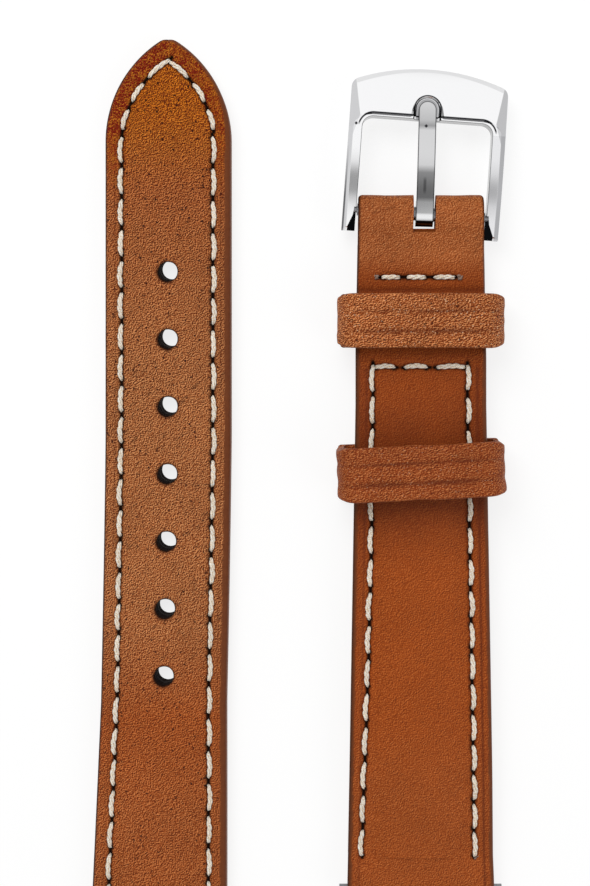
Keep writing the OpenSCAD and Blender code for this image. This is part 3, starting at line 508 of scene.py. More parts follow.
def leather(name, low, mid, high, grain, stretch=(1, 1, 1), shift=0.0, flecks=0.0):
    """Pull-up leather: fine grain with painted light and shade on its relief, slow drifts of colour, and
    attributes for pressed or painted places and for painted shade.
    """
    m = Surface(name)
    m.place = m.mapped(m.place, Location=(shift, shift * 0.7, 0))
    grainy, ochre, edge, dark = [m.attribute(key) for key in ("grainy", "ochre", "edge", "dark")]
    # Painted light and shade of the grain: its relief is the difference between the pores and the same pores a
    # little to the upper left, as if lit from there, and it colours the leather as well as bumping it
    stretched = m.scaled(stretch)
    pores = m.noise(grain, 3.0, 0.55, stretched)
    relief = pores - m.noise(grain, 3.0, 0.55, m.mapped(stretched, Location=(-0.06 * stretch[0], 0.06, 0)))
    fine = ((pores - 0.5) * 0.55 + relief) * (grainy + 0.35) + 0.5
    colour = m.ramp(fine, (0.28, low), (0.5, mid), (0.72, high))
    colour = m.times(colour, (1.12, 1.03, 0.98, 1), grainy)
    # Worn places are pale, with slanting scratches
    pale = m.ramp(fine, (0.28, (80, 31, 11)), (0.5, (172, 92, 42)), (0.72, (242, 168, 108)))
    slanting = m.mapped(m.mapped(m.place, Rotation=(0, 0, math.radians(40))), Scale=(1.0, 0.3, 1.0))
    pale = m.times(pale, m.grey(m.noise(2.6, place=slanting), (0.3, 0.6), (0.39, 1.0)))
    colour = m.mix(colour, pale, m.attribute("worn"))
    specks = m.grey(m.cells(1.6), (0.13, 1.0), (0.24, 0.0)) * m.grey(m.noise(1.3), (0.48, 0.0), (0.54, 1.0))
    colour = m.mix(colour, (58, 20, 8), specks * grainy)
    spots = m.grey(m.noise(grain * 0.7, rough=0.6), (0.38, 0.75), (0.45, 0.0)) * ochre
    colour = m.mix(m.times(colour, (1.46, 1.64, 0.6, 1), ochre), (118, 36, 12), spots)
    colour = m.times(colour, m.grey(m.noise(0.14), (0.3, 0.93), (0.7, 1.07)))
    colour = m.times(colour, m.grey(m.noise(0.8), (0.3, 0.96), (0.7, 1.03)))
    # Painted shade in thread beds, creases, round holes, beside the keepers and in keeper crevices, mixed with
    # the leather's own uneven tone, darkens the colour here
    colour = m.mix(colour, m.mix(colour, (92, 32, 8), 0.75), m.attribute("tone_and_shade"))
    red = m.grey(m.noise(grain * 0.75, rough=0.6) + m.noise(1.2) * 0.4, (0.69, 1.0), (0.77, 0.0))
    burnt = m.times(m.mix((212, 122, 34), (140, 20, 5), red), m.grey(fine, (0.3, 0.72), (0.5, 1.0), (0.7, 1.2)))
    colour = m.mix(colour, burnt, m.attribute("burnish"))
    colour = m.mix(colour, m.mix((98, 46, 17), (118, 62, 26), m.noise(2.2)), edge)
    # Painted shade: near black in holes and their walls, stitch holes, the shadow lines beside the stitches and
    # along the left edges
    colour = m.mix(colour, (20, 7, 3), dark)
    if flecks:
        some = m.grey(m.noise(0.7), (0.4, 0.0), (0.56, flecks)) * grainy
        colour = m.mix(colour, (255, 222, 184), m.grey(m.cells(3.0), (0.12, 1.0), (0.22, 0.0)) * some)
    rough = m.mix(m.grey(fine, (0.3, 0.66), (0.75, 0.52)), (0.45, 0.45, 0.45, 1), edge)
    m.set(Base_Color=colour, Roughness=m.mix(rough, (1, 1, 1, 1), dark), Specular_IOR_Level=0.22)
    m.set(Normal=m.bump((fine + m.noise(1.5) * 0.6) * (1.0 - edge * 0.85), 0.09))
    return m.owner


def fibre(name):
    m = Surface(name)
    colour = m.ramp(m.noise(3.0, 4.0, 0.65), (0.3, (170, 148, 116)), (0.7, (212, 196, 166)))
    # Painted shade: near black on the walls of the holes through the board
    m.set(Base_Color=m.mix(colour, (20, 7, 3), m.attribute("dark")), Roughness=0.9)
    m.set(Normal=m.bump(m.noise(7.0, 3.0, 0.6, m.scaled((1, 0.3, 1))), 0.05))
    return m.owner


def thread(name):
    m = Surface(name)
    fibres = m.noise(9.0, rough=0.6)
    colour = m.ramp(fibres, (0.36, (226, 194, 158)), (0.48, (255, 240, 215)), (0.58, (255, 255, 250)))
    colour = m.times(colour, m.grey(m.noise(0.35), (0.35, 0.9), (0.65, 1.0)))
    colour = m.mix(colour, (104, 52, 26), m.attribute("dark"))
    m.set(Base_Color=colour, Roughness=0.8, Specular_IOR_Level=0.2, Sheen_Weight=0.2)
    m.set(Normal=m.bump(fibres, 0.03))
    return m.owner


def polished(name, skew, reflection_greys):
    """Mirror steel, with painted reflections as grey levels along the buckle. Also gives its colour, and places
    in the piece's own axes.
    """
    m = Surface(name)
    u, v = m.local(SHORT_X, BUCKLE_Y, skew)
    first, last = reflection_greys[0][0], reflection_greys[-1][0]
    stops = [((at - first) / (last - first), (grey, grey, grey + 1)) for at, grey in reflection_greys]
    m.set(Metallic=1.0, Roughness=0.09)
    return m, m.ramp((v - first) / (last - first), *stops), u, v


def frame_steel():
    """Steel of the buckle's frame, with painted reflections: the dark lines that its edges mirror, darker
    facets and right side, a grey tongue seat, and a painted shadow in the leg ends' hollows.
    """
    m, colour, u, v = polished("polished_steel", BUCKLE_SKEW, [(0, 244), (10, 247)])
    corner = WINDOW_END - WINDOW_R
    # Painted reflections of dark lines: along the window's rim and ledge, the left outer edge, a dot, and the
    # mouth of the tongue's seat
    rim = m.reach(m.past(abs(u), WINDOW_HW - WINDOW_R), m.past(v, corner)) - WINDOW_R
    inner = m.band(rim, -0.02, 0.1) * 0.9
    ledge = m.band(rim, LEDGE_W + 0.07, 0.12) * m.grey(v - corner, (0.1, 0.0), (0.5, 1.0))
    outer = m.band(u + FRAME_HW, 0.1, 0.14) * m.grey((7.0 - v) * 0.16, (0.0, 0.0), (0.9, 0.8))
    dot = m.band(m.reach(u + 7.73, v - 9.23), 0.0, 0.2)
    seat = m.reach(u + 0.11, m.past(v, NOTCH_CENTRE)) - NOTCH_HW
    mouth = m.band(seat, 0.24, 0.09) * (v > WINDOW_END + 0.05)
    spread = m.math("MINIMUM", m.most(WINDOW_END - v, 0.0) * 0.3, FACET_W - LEG_BEVEL)
    spread = spread + m.past(v, WINDOW_END) * FACET_LEAN
    facet = m.grey(abs(u) - (FRAME_HW - FACET_W) - spread, (0.0, 0.0), (0.06, 1.0))
    right = u > 0.0
    # Painted reflections: the right side a little darker, the facets darker (the right ones most), and the
    # tongue's seat grey
    colour = m.times(colour, (240, 240, 241), (v < corner) * right)
    colour = m.times(colour, m.mix((233, 233, 234), (212, 212, 213), right), facet)
    colour = m.mix(colour, (186, 186, 188), seat < -0.03)
    colour = m.mix(colour, MIRRORED_DARK, m.most(inner, ledge, outer, dot, mouth))
    # Painted shadow: near black on the upward faces low in the hollows of the leg ends
    facing_up = m.split(m.node("TexCoord", output="Normal"))[2] > 0.9
    hollow_shadow = (m.split(m.place)[2] < BUCKLE_Z) * facing_up * (v < 2.0)
    m.set(Base_Color=m.mix(colour, (20, 20, 22), hollow_shadow))
    return m.owner


def tongue_steel():
    """Steel of the tongue, with painted reflections: dark sides, a dark streak and spot, and the grey field
    that its bow mirrors.
    """
    m, colour, u, v = polished("tongue_steel", TONGUE_SKEW, TONGUE_REFLECTION_GREYS)
    u = u - TONGUE_SHIFT
    side = m.reach(u, m.past(v, TONGUE_REACH - TONGUE_HW))
    # Painted reflections, all in the mirrored dark: the sides, a short streak along the middle near the bar and
    # a spot further out
    line = m.grey(side, (TONGUE_HW - 0.13, 0.0), (TONGUE_HW - 0.05, 0.9))
    mirrored_streak = m.band(u, -0.1, 0.2) * (m.band(v, 3.0, 1.0) * 0.5)
    spot = m.grey(abs(u + 0.13) + abs(v - 9.45), (0.14, 1.0), (0.26, 0.0))
    m.set(Base_Color=m.mix(colour, MIRRORED_DARK, m.most(line, mirrored_streak, spot)))
    return m.owner


def drawn(name, low, high):
    m = Surface(name)
    lines = m.noise(6.0, 3.0, 0.6, m.scaled((0.15, 3, 3)))
    m.set(Base_Color=m.ramp(lines, (0.3, low), (0.7, high)), Metallic=1.0)
    m.set(Roughness=m.grey(lines, (0.3, 0.28), (0.7, 0.42)), Normal=m.bump(lines, 0.004))
    return m.owner


# Colour of the dark lines that polished steel mirrors, and the painted reflection's grey levels along the
# tongue from the bar to its tip
MIRRORED_DARK = (34, 34, 38)
TONGUE_REFLECTION_GREYS = [(-2, 40), (-1.2, 40), (-1.12, 130), (-1.04, 30), (-0.8, 30), (-0.68, 236), (1.2, 228),
                (1.7, 158), (4.4, 150), (5.2, 216), (9.0, 212), (9.5, 156), (10.1, 190), (12.2, 212)]

KEEPER_GRAIN = (7.0, (0.7, 1, 1), 31.0)
TAN = leather("tan_leather", (92, 32, 6), (158, 70, 14), (210, 119, 54), 6.6)
KEEPER = leather("keeper_leather", (84, 32, 6), (158, 75, 24), (240, 168, 108), *KEEPER_GRAIN, 0.8)
SOILED = leather("soiled_keeper_leather", (84, 28, 4), (160, 69, 18), (246, 162, 96), *KEEPER_GRAIN, 0.55)
LINING = leather("lining_leather", (140, 92, 54), (184, 130, 82), (214, 168, 122), 4.0, shift=57.0)
FIBRE = fibre("fibre_board")
THREAD = thread("thread_cream")
CHROME = frame_steel()
TONGUE_STEEL = tongue_steel()
BAR_STEEL = drawn("bar_steel", (120, 121, 124), (176, 177, 180))
SPRING_STEEL = drawn("spring_steel", (104, 105, 108), (150, 151, 154))


# The stitches as pairs of points in plan, from one hole to the next
def side_row(centre, line, side, first, pitch, length, last, growth=0.0):
    """A row down one side. growth is what each pitch has more than the one before it."""
    out = []
    y = first
    while y - length > last:
        ends = [(float(centre(v)) + side * float(line(v)), v) for v in (y, y - length)]
        out.append((ends[0], ends[1], side))
        y -= pitch
        pitch += growth
    return out


def arch_row(side):
    """The stitches of the pointed tip on one side, as places along its arch from the apex."""
    reach = TIP_R - TIP_INSET
    total = math.acos((TIP_R - TAIL_HW) / reach)
    out = []
    for stitch in [(-0.35 if side < 0 else 0.12, 2.5), (3.5, 5.6), (6.7, 8.75)]:
        ends = []
        for v in stitch:
            y = ARCH_Y + reach * math.sin(total - v / reach)
            ends.append((LONG_X + side * max(float(long_line(y)), 0.12) * (1 if v > 0 else -1), y))
        out.append((ends[0], ends[1], side))
    return out


def cross_row(y, spans):
    """Stitches straight across the short half, as spans from its centreline."""
    return [((SHORT_X + a, y), (SHORT_X + b, y), 1) for a, b in spans]


def inside(line, inset):
    """A stitch line that lies further in than a half's own."""
    return lambda y: line(y) - inset


def short_left_line(y):
    return short_line(y) - np.interp(y, *LEFT_INSET)


LONG_ROW_END = LONG_BAR_Y + 3.2
LONG_STITCHES = (arch_row(-1) + side_row(long_cx, long_line, -1, 49.4, 3.395, 2.62, LONG_ROW_END)
                 + arch_row(1) + side_row(long_cx, inside(long_line, 0.2), 1, 49.45, 3.53, 2.7, LONG_ROW_END))
SHORT_ROW_END = SHORT_BAR_Y + 2.9
# How far the short half's left row lies inside the half's own line, along Y
LEFT_INSET = ((-27, -22, -8, 4, 24), (-0.28, -0.24, 0.03, 0.15, 0.05))
SHORT_SIDES = (side_row(short_cx, short_left_line, -1, 24.6, 3.46, 2.74, SHORT_ROW_END, 0.023)
               + side_row(short_cx, inside(short_line, 0.28), 1, 24.58, 3.597, 2.55, SHORT_ROW_END, -0.03))
U_ROW = cross_row(U_ROW_Y, ((-4.95, -2.9), (-1.75, 0.6), (1.75, 4.7)))
CROSS_ROW = cross_row(CROSS_Y, ((-4.2, -2.35), (-1.45, 0.45), (1.45, 3.6)))
CROSS_ENDS = cross_row(CROSS_Y, ((-5.0, -4.62), (3.95, 4.5)))
SHORT_STITCHES = SHORT_SIDES + U_ROW + CROSS_ROW
# How far a stitch bows out to its side
BULGE = 0.18


def around(x, y, middle, size, p, d):
    """Which places lie near a middle, and how far they lie along and across the direction d from p."""
    near = (np.abs(x - middle[0]) < size) & (np.abs(y - middle[1]) < size)
    dx, dy = x[near] - p[0], y[near] - p[1]
    return near, dx * d[0] + dy * d[1], dy * d[0] - dx * d[1]


def pressed(x, y, stitches):
    """Depth of the thread's bed and of its holes, and a painted shadow line along the thread's inner side, at
    places x, y.
    """
    bed, deep, seam_shadow = np.zeros_like(x), np.zeros_like(x), np.zeros_like(x)
    for p, q, side in stitches:
        p, q = np.array(p), np.array(q)
        length = np.linalg.norm(q - p)
        d = (q - p) / length
        near, u, v = around(x, y, (p + q) / 2, length, p, d)
        past = np.maximum(np.maximum(-u, u - length), 0)
        bed[near] = np.maximum(bed[near], bump(np.hypot(v, past), 0.34))
        # The painted shadow line beside the thread, strongest on its inner side
        inward = (-v if -d[1] * side >= 0 else v) + BULGE * np.sin(math.pi * np.clip(u / length, 0, 1))
        both = np.maximum(bump(inward - 0.27, 0.09), 0.6 * bump(inward + 0.28, 0.09))
        seam_shadow[near] = np.maximum(seam_shadow[near], both * bump(past, 0.15))
        for hole in (p - 0.17 * d, q + 0.17 * d):
            near, u, v = around(x, y, hole, 1.2, hole, d)
            past = np.maximum(np.abs(u) - 0.21, 0)
            deep[near] = np.maximum(deep[near], bump(np.hypot(v / 0.17, past / 0.16), 1.0))
    return bed, deep, seam_shadow


def grid_of(ys, hw, line):
    """Offsets of a grid's points from a half's centreline, and their places along Y, for rows at ys."""
    inner = np.maximum(line - 0.5, 0.35 * hw)
    outer = np.minimum(np.maximum(line + 0.5, inner + 0.25 * (hw - inner)), 0.85 * hw)
    margin = np.maximum(hw - 0.55, outer + 0.4 * (hw - outer))
    core = np.minimum(1.8, 0.5 * inner)
    cols = [0 * hw]
    for a, b, n in [(0 * hw, core, 12), (core, inner, 12), (inner, outer, 9), (outer, margin, 7)]:
        cols += [a + (b - a) * (k + 1) / n for k in range(n)]
    for k in range(1, 7):
        cols.append(hw - (hw - margin) * (1 - math.sin(math.radians(15 * k))))
    right = np.stack(cols, -1)
    cols = np.concatenate([-right[:, :0:-1], right], axis=1)
    return cols, np.repeat(ys[:, None], cols.shape[1], 1)


def edge_drop(d, r):
    """How far an edge rounded with radius r falls at a distance d from its outside."""
    t = np.clip(1 - d / r, 0, 1)
    return r * (1 - np.sqrt(np.maximum(1 - t * t, 0)))


def edge_paint(d, wide):
    """1 in a band of some width along an edge."""
    return 1 - smooth((d - wide + 0.1) / 0.2)


# Rows of the grids: close together at a half's end, where the tip's nose is round, and round each hole
FIRST_ROWS = [0.0, 0.008, 0.03, 0.065, 0.11]
ROW_STEP = 0.17


def tightened(places, middles, step):
    """Places of rows, with a tight set of rows round each middle."""
    for middle in middles:
        places = [p for p in places if abs(p - middle) > 1.8 + step * 0.6]
        places += [middle + 0.15 * j for j in range(-12, 13)]
    return np.array(sorted(set(places)))


def hole_rows(start, stop, step):
    """Rows of a flat layer from start down to stop, tight round the seven holes."""
    places = [start - v for v in FIRST_ROWS] + list(np.arange(start - step, stop, -step)) + [stop]
    return tightened(places, HOLE_YS, step)[::-1]


class Path:
    """A leather strip's inner face along a half: place, y, z, thickness and outward direction of each row."""

    def __init__(self, stations, marks):
        step, blur = 0.05, 0.3
        stations = np.array(stations, float)
        gap = np.hypot(*np.diff(stations[:, :2], axis=0).T)
        s = np.concatenate([[0], np.cumsum(gap)])
        fine = np.arange(0, s[-1], step)
        half = int(4 * blur / step)
        kernel = bump(np.arange(-half, half + 1) * step, blur * 1.41)
        kernel /= kernel.sum()

        def soft(column):
            v = np.interp(fine, s, column)
            left, right = 2 * v[0] - v[half:0:-1], 2 * v[-1] - v[-2:-half - 2:-1]
            return np.convolve(np.concatenate([left, v, right]), kernel, "valid")

        y, z, t = [soft(column) for column in stations.T]
        falling = np.gradient(y) < 0
        middles = []
        for at in marks:
            k = np.argmin(np.where(falling, np.abs(y - at), 1e9))
            middles.append(fine[k] + (at - y[k]) / min(-1e-6, (y[k] - y[k - 1]) / step))
        places = FIRST_ROWS + list(np.arange(ROW_STEP, fine[-1], ROW_STEP)) + [fine[-1] - 0.02]
        self.s = tightened(places, middles, ROW_STEP)
        ty, tz = np.gradient(y, fine), np.gradient(z, fine)
        size = np.hypot(ty, tz)
        self.y, self.z, self.t, ny, nz = [np.interp(self.s, fine, v) for v in (y, z, t, tz / size, -ty / size)]
        size = np.hypot(ny, nz)
        self.ny, self.nz = ny / size, nz / size


def round_bar(y, z, r, first, last, t):
    """Stations of leather of thickness t round a bar, from one angle to another."""
    return [(y + r * math.cos(a), z + r * math.sin(a), t) for a in np.radians(np.arange(first, last + 1, 7.5))]


def lug_stations(bar_y, z_close):
    """Stations round a lug bar."""
    out = [(bar_y + LUG_CLOSE, z_close, UPPER_T), (bar_y + 1.2, LOOP_OUT + LOOP_R - 0.2, UPPER_T)]
    return out + round_bar(bar_y, LOOP_OUT, LOOP_R, 90, 270, LOOP_T)


def all_corners(mask):
    """Cells of a grid whose four corners are all in a mask."""
    return mask[:-1, :-1] & mask[1:, :-1] & mask[:-1, 1:] & mask[1:, 1:]


def holed(u, y, centres, cx_of):
    """Moves the grid near each hole so that one square of its lines becomes the hole's rim.

    u is the offset from the half's centreline. Also gives the cells to keep, the distance from a rim, the
    share of the holes' slant that a point takes, and how far it lies to the lower left of its hole."""
    x = u + cx_of(y)
    keep = np.ones((x.shape[0] - 1, x.shape[1] - 1), bool)
    gap, lean, lower_left = np.full_like(x, 9.0), np.zeros_like(x), np.zeros_like(x)
    for yc in centres:
        dy = y - yc
        c = np.maximum(np.abs(u), np.abs(dy))
        e = np.maximum(np.hypot(u, dy), 1e-9)
        near = c < 1.83
        t = np.clip((c - 0.75) / 1.05, 0, 1)
        moved = near & (c > 0.7)
        y = np.where(moved, yc + dy * t + (HOLE_R * dy / e) * (1 - t), y)
        across = np.where(moved, u * t + (HOLE_R * u / e) * (1 - t), u)
        x = np.where(near, across + float(cx_of(yc)) * (1 - t) + cx_of(y) * t, x)
        keep &= ~all_corners(c < 0.76)
        gap = np.minimum(gap, np.hypot(x - float(cx_of(yc)), y - yc) - HOLE_R)
        lean = np.where(near, 1 - t, lean)
        lower_left = np.where(near, -(u + dy) / (1.414 * e), lower_left)
    return x, y, keep, gap, lean, lower_left


def slanted(x, y, z, lean):
    """Points of a layer, moved where the slanted holes pass through it."""
    part = lean * (LONG_T - z) / LONG_T
    return np.stack([x + HOLE_SLANT[0] * part, y + HOLE_SLANT[1] * part, z], -1)


def upper_faces(half, path, x, y, d, flag, stitches, relief, lean, least):
    """Upper and lower face of a half's upper leather, and its thread beds, stitch holes and seams.

    d is the distance from the edge, flag says which rows lie on top, and least is the least thickness."""
    bed, deep, seam_shadow = [v * flag for v in pressed(x, y, stitches)]
    pad = dome(half, x, y) * flag
    h = path.t[:, None]
    high = h + pad - edge_drop(d, 0.5) * np.minimum(1, h / UPPER_T) - 0.19 * bed - 0.3 * deep + relief
    low = np.minimum(np.maximum(pad - 0.02, 0) * (h > UPPER_T - 0.02), high - least)
    top, bottom = [slanted(x, y + v * path.ny[:, None], path.z[:, None] + v * path.nz[:, None], lean)
                   for v in (high, low)]
    return top, bottom, bed, deep, seam_shadow


# Along Y: where the holed half is worn pale, and how strong its grain is
WORN = ((-50, -24, -14, -4, 24, 36, 46, 53), (0.35, 0.35, 0.15, 0.9, 0.95, 0.65, 0.3, 0.0))
GRAINY = ((-50, -5, 10, 36, 46, 55), (0.85, 0.9, 0.95, 1.25, 1.8, 2.4))


def long_upper():
    flat = [(TIP_Y, LONG_EDGE_Z, UPPER_T), (LONG_BAR_Y + 6, LONG_EDGE_Z, UPPER_T)]
    flap = [(LONG_BAR_Y + reach, LONG_EDGE_Z - GLUE, LONG_MID_T) for reach in (LUG_CLOSE, LUG_FLAP)]
    path = Path(flat + lug_stations(LONG_BAR_Y, LONG_EDGE_Z) + flap, HOLE_YS)
    flag = (path.s < TIP_Y - LONG_BAR_Y)[:, None]
    grid = grid_of(path.y, long_hw(path.y), long_line(path.y))
    x, y, keep, gap, lean, lower_left = holed(*grid, HOLE_YS, long_cx)
    lean = lean * (path.nz > 0.99)[:, None]
    side, off = np.sign(x - long_cx(y)), np.abs(x - long_cx(y))
    arch = y > ARCH_Y
    arc = TIP_R - np.hypot(off - (TAIL_HW - TIP_R), y - ARCH_Y)
    d = np.maximum(np.where(arch, np.minimum(arc, TIP_Y - y + 0.12 * off), long_hw(y) - off), 0)
    crease = bump((off - long_line(y) - 0.72) * np.where(arch, 0.85, 1.0), 0.11)
    crease *= ramp(y, APEX_Y, APEX_Y - 2) * flag
    wave = sway(x * 0.55 + 7, y * 0.4, 3, 0.05) + sway(x * 1.6, y * 1.4 + 3, 4, 0.02)
    lip = bump(gap, 0.16) * 0.05 - bump(gap - 0.3, 0.2) * 0.015
    relief = wave - lip - 0.05 * crease
    top, low, bed, deep, seam_shadow = upper_faces(LONG, path, x, y, d, flag, LONG_STITCHES, relief, lean, 0.25)
    wide = np.where(side > 0, 0.3 + 0.42 * ramp(y, ARCH_Y + 8, ARCH_Y - 2), 0.18)
    edge = edge_paint(d, wide + sway(y * 1.3, side * 3 + 9, 5, 0.12))
    blotch = 0.75 + 0.6 * noise(x * 0.9, y * 0.8, 8)
    burnish = ease(y, 41, 54) * (1 - ease(d, 1.9, 2.5)) * np.where(side < 0, 1.0, 0.8)
    burnish = np.clip(burnish * blotch, 0, 0.95)
    # Painted shade in the thread beds, the crease, round the holes (most at their lower left) and towards the
    # lug loop; the rest is the leather's own tone, a little lighter towards the lugs and patchy at random
    tone_and_shade = 0.35 * bed + 0.5 * crease - 0.06 - 0.1 * ramp(y, 8, -10)
    tone_and_shade += bump(gap - 0.1, 0.3) * (0.25 + 0.45 * np.clip(lower_left, 0, 1))
    tone_and_shade += 0.35 * ease(y, -52, -57) + 0.25 * (noise(x * 0.3, y * 0.12, 12) - 0.4)
    # Painted shade: near black in the stitch holes, the shadow lines beside the stitches and the holes' rims
    # and walls, with a painted shadow at each hole's lower left and a dark line along the left edge
    in_hole, rim = gap < 0.6, bump(gap, 0.11)
    dark = np.clip(deep * 2.2 + 0.85 * seam_shadow + rim, 0, 1)
    dark = np.maximum(dark, np.clip(lower_left * 1.4, 0, 1) * bump(gap - 0.06, 0.17))
    dark = np.maximum(dark, 0.9 * bump(d - 0.03, 0.13) * (side < 0) * flag)
    values = {"edge": (edge, 0, 1 - in_hole), "burnish": burnish, "tone_and_shade": np.clip(tone_and_shade, 0, 1),
              "dark": (dark, rim, in_hole), "worn": np.interp(y, *WORN) * (1 - burnish) * flag,
              "ochre": ease(y, 43, 54.5) * flag, "grainy": np.interp(y, *GRAINY) * flag}
    made = shell(top, low, keep, (0.06, 0.5), values)
    new_object("long_upper_leather", made, TAN, "long_half", ["long_upper"])


def short_upper():
    slack_y = BUCKLE_Y - FOLD_SHIFT - 0.4
    top_z, rise = SHORT_BASE + FOLD_EDGE_Z, BUCKLE_Z + FOLD_R
    stations = [(y, top_z - GLUE, FLAP_T) for y in (FIXED_KEEPER_Y + KEEPER_L / 2 + 0.25, FOLD_Y - 3.7)]
    stations.append((slack_y, BUCKLE_Z - FOLD_R, FOLD_T))
    stations += round_bar(FOLD_Y, BUCKLE_Z, FOLD_R, -90, 90, FOLD_T)
    stations += [(slack_y, rise, FOLD_T), (FOLD_Y - 2.6, rise + (top_z - rise) * 0.6, 0.98),
                 (FOLD_Y - 4.2, top_z, UPPER_T)]
    stations += [(y, float(short_edge_z(y)), UPPER_T) for y in np.arange(FOLD_Y - 4.6, SHORT_BAR_Y + 4.0, -0.4)]
    stations += lug_stations(SHORT_BAR_Y, float(short_edge_z(SHORT_BAR_Y + LUG_CLOSE)))
    stations += [(y, float(short_edge_z(y)) - GLUE, SHORT_MID_T)
                 for y in np.linspace(SHORT_BAR_Y + LUG_CLOSE, SHORT_BAR_Y + LUG_FLAP, 8)]
    path = Path(stations, ())
    rows = np.arange(len(path.y))[:, None]
    k_top, k_end = np.argmax(path.y), np.argmin(path.y)
    flag, upper_end = (rows >= k_top) & (rows <= k_end), rows < (k_top + k_end) / 2
    hw = short_hw(path.y)
    cols, y = grid_of(path.y, hw, short_line(path.y))
    # Round the buckle bar the columns follow the tongue, for its slot
    shift = TONGUE_SHIFT + math.sin(math.radians(TONGUE_SKEW)) * (y - BUCKLE_Y)
    cols = cols + ease(y, SLOT_END_Y - 3, SLOT_END_Y - 0.5) * upper_end * shift * ease(np.abs(cols), 5, 2)
    x, side, off = cols + SHORT_X, np.sign(cols), np.abs(cols)
    d = np.maximum(hw[:, None] - off, 0)
    below_u = ease(y, U_ROW_Y + 0.4, U_ROW_Y - 0.4)
    crease = bump(off - short_line(y) - np.where(side > 0, 0.78, 0.62), 0.12) * below_u * flag
    crease *= np.where(side > 0, 1.0, 0.6)
    above_keeper = bump(y - FIXED_KEEPER_Y - KEEPER_L / 2 - 0.35, 0.3) * flag
    below_keeper = bump(y - FIXED_KEEPER_Y + KEEPER_L / 2 + 0.1, 0.35) * flag
    wave = sway(x * 0.5 + 3, y * 0.4, 13, 0.06) + sway(x * 1.5, y * 1.4, 14, 0.02)
    dent = sway(x * 0.35, y * 0.4 + 5, 15, 0.06) * ease(y, CROSS_Y - 0.5, CROSS_Y + 3) * flag
    relief = wave + dent - 0.07 * crease - 0.08 * above_keeper - 0.05 * below_keeper
    top, low, bed, deep, seam_shadow = upper_faces(SHORT, path, x, y, d, flag, SHORT_STITCHES, relief, 0, 0.2)
    from_slot = np.where((y > SLOT_END_Y) & upper_end, np.abs(cols - shift) - SLOT_HALF, 9.0)
    keep = ~all_corners(from_slot < 0.02)
    near_slot = from_slot < 0.2
    edge = edge_paint(d, np.where(y > MID_TOP_Y, 0.16, 0.42) + sway(y * 1.3, side * 3 + 19, 15, 0.14))
    # Painted shade in the thread beds, the crease and on both sides of each keeper; further darker bands along
    # the strap and darker margins below the U row, and patchy random tone
    tone_and_shade = 0.35 * bed + 0.8 * crease + 0.5 * above_keeper + 0.45 * below_keeper
    tone_and_shade += 0.35 * ease(y, 26.5, 24) * ease(y, 1, 9) + 0.4 * bump(y - FREE_KEEPER_Y, 5.5)
    tone_and_shade += 0.3 * ease(y, 37, 33) * ease(y, 29, 33) + 0.22 * (noise(x * 0.3, y * 0.12, 12) - 0.4)
    tone_and_shade += 0.25 * (1 - ease(d, 1.1, 1.7)) * below_u - 0.12 * ease(y, -4, -12)
    # Painted shade: near black in the stitch holes and the shadow lines beside the stitches, a dark line along
    # the left edge, and a little on the walls of the tongue's slot
    dark = np.clip(deep * 2.2 + 0.85 * seam_shadow, 0, 1)
    dark = np.maximum(dark, 0.7 * bump(d - 0.03, 0.12) * (side < 0) * flag)
    worn = (0.75 * ease(y, 33.5, 37) + 0.15 * ease(y, -12, -22)) * flag
    values = {"edge": (edge, 0, 1 - 0.3 * near_slot), "tone_and_shade": np.clip(np.where(flag, tone_and_shade, 0.2), 0, 1),
              "dark": (dark, 0, 0.15 * near_slot), "worn": worn, "grainy": 0.27 * flag}
    made = shell(top, low, keep, (0.5,), values)
    new_object("short_upper_leather", made, TAN, "short_half", ["short_upper"])


def plain_sheet(name, half, ys, low, high, material, nodes, holes=(), under=(), inset=0.0):
    """A flat layer between two heights over a half's base. under gives the stitches pressed in from below."""
    hw = half.hw(ys) - inset
    grid = grid_of(ys, hw, np.maximum(hw - STITCH_INSET, 0))
    x, y, keep, gap, lean, _ = holed(*grid, holes, half.cx)
    d = np.maximum(half.hw(y) - inset - np.abs(x - half.cx(y)), 0)
    bottom, top = half.base_z(y) + low, half.base_z(y) + high
    bed, deep, _ = pressed(x, y, under)
    edge = 0
    if under:
        edge = 1 - ease(d, 0.2, 0.4)
        bottom = bottom + edge_drop(d, 0.25) + 0.3 * bed + 0.15 * deep
        bottom += (noise(x * 0.6, y * 0.5, 21) - 0.3) * 0.03 * ramp(d, 0.3, 1)
    # Painted shade: the thread beds darkened on the underside, and near black in stitch holes, round the holes'
    # rims and on their walls
    in_hole, rim = gap < 0.6, bump(gap, 0.11)
    values = {"edge": (0, edge, 1 - in_hole), "tone_and_shade": (0, 0.3 * bed, 0),
              "dark": (rim, np.clip(deep + rim, 0, 1), in_hole)}
    bottom = np.minimum(bottom, top - 0.1)
    made = shell(slanted(x, y, top, lean), slanted(x, y, bottom, lean), keep, (0.5,), values)
    new_object(name, made, material, half.body, nodes)


def padding(name, half, ys, nodes):
    share = 0.88
    u = np.linspace(-1, 1, 25)
    x = half.cx(ys)[:, None] + share * pad_hw(half.line(ys))[:, None] * u
    y = np.repeat(ys[:, None], len(u), 1)
    z = half.edge_z(y)
    high = z + np.maximum(half.pad(y) * swell(u * share, 1.0) - 0.06, 0.05)
    keep = np.ones((len(ys) - 1, len(u) - 1), bool)
    made = shell(np.stack([x, y, high], -1), np.stack([x, y, z], -1), keep, (), {})
    new_object(name, made, FIBRE, half.body, nodes)


# Thread
UP = np.array([0, 0, 1.0])


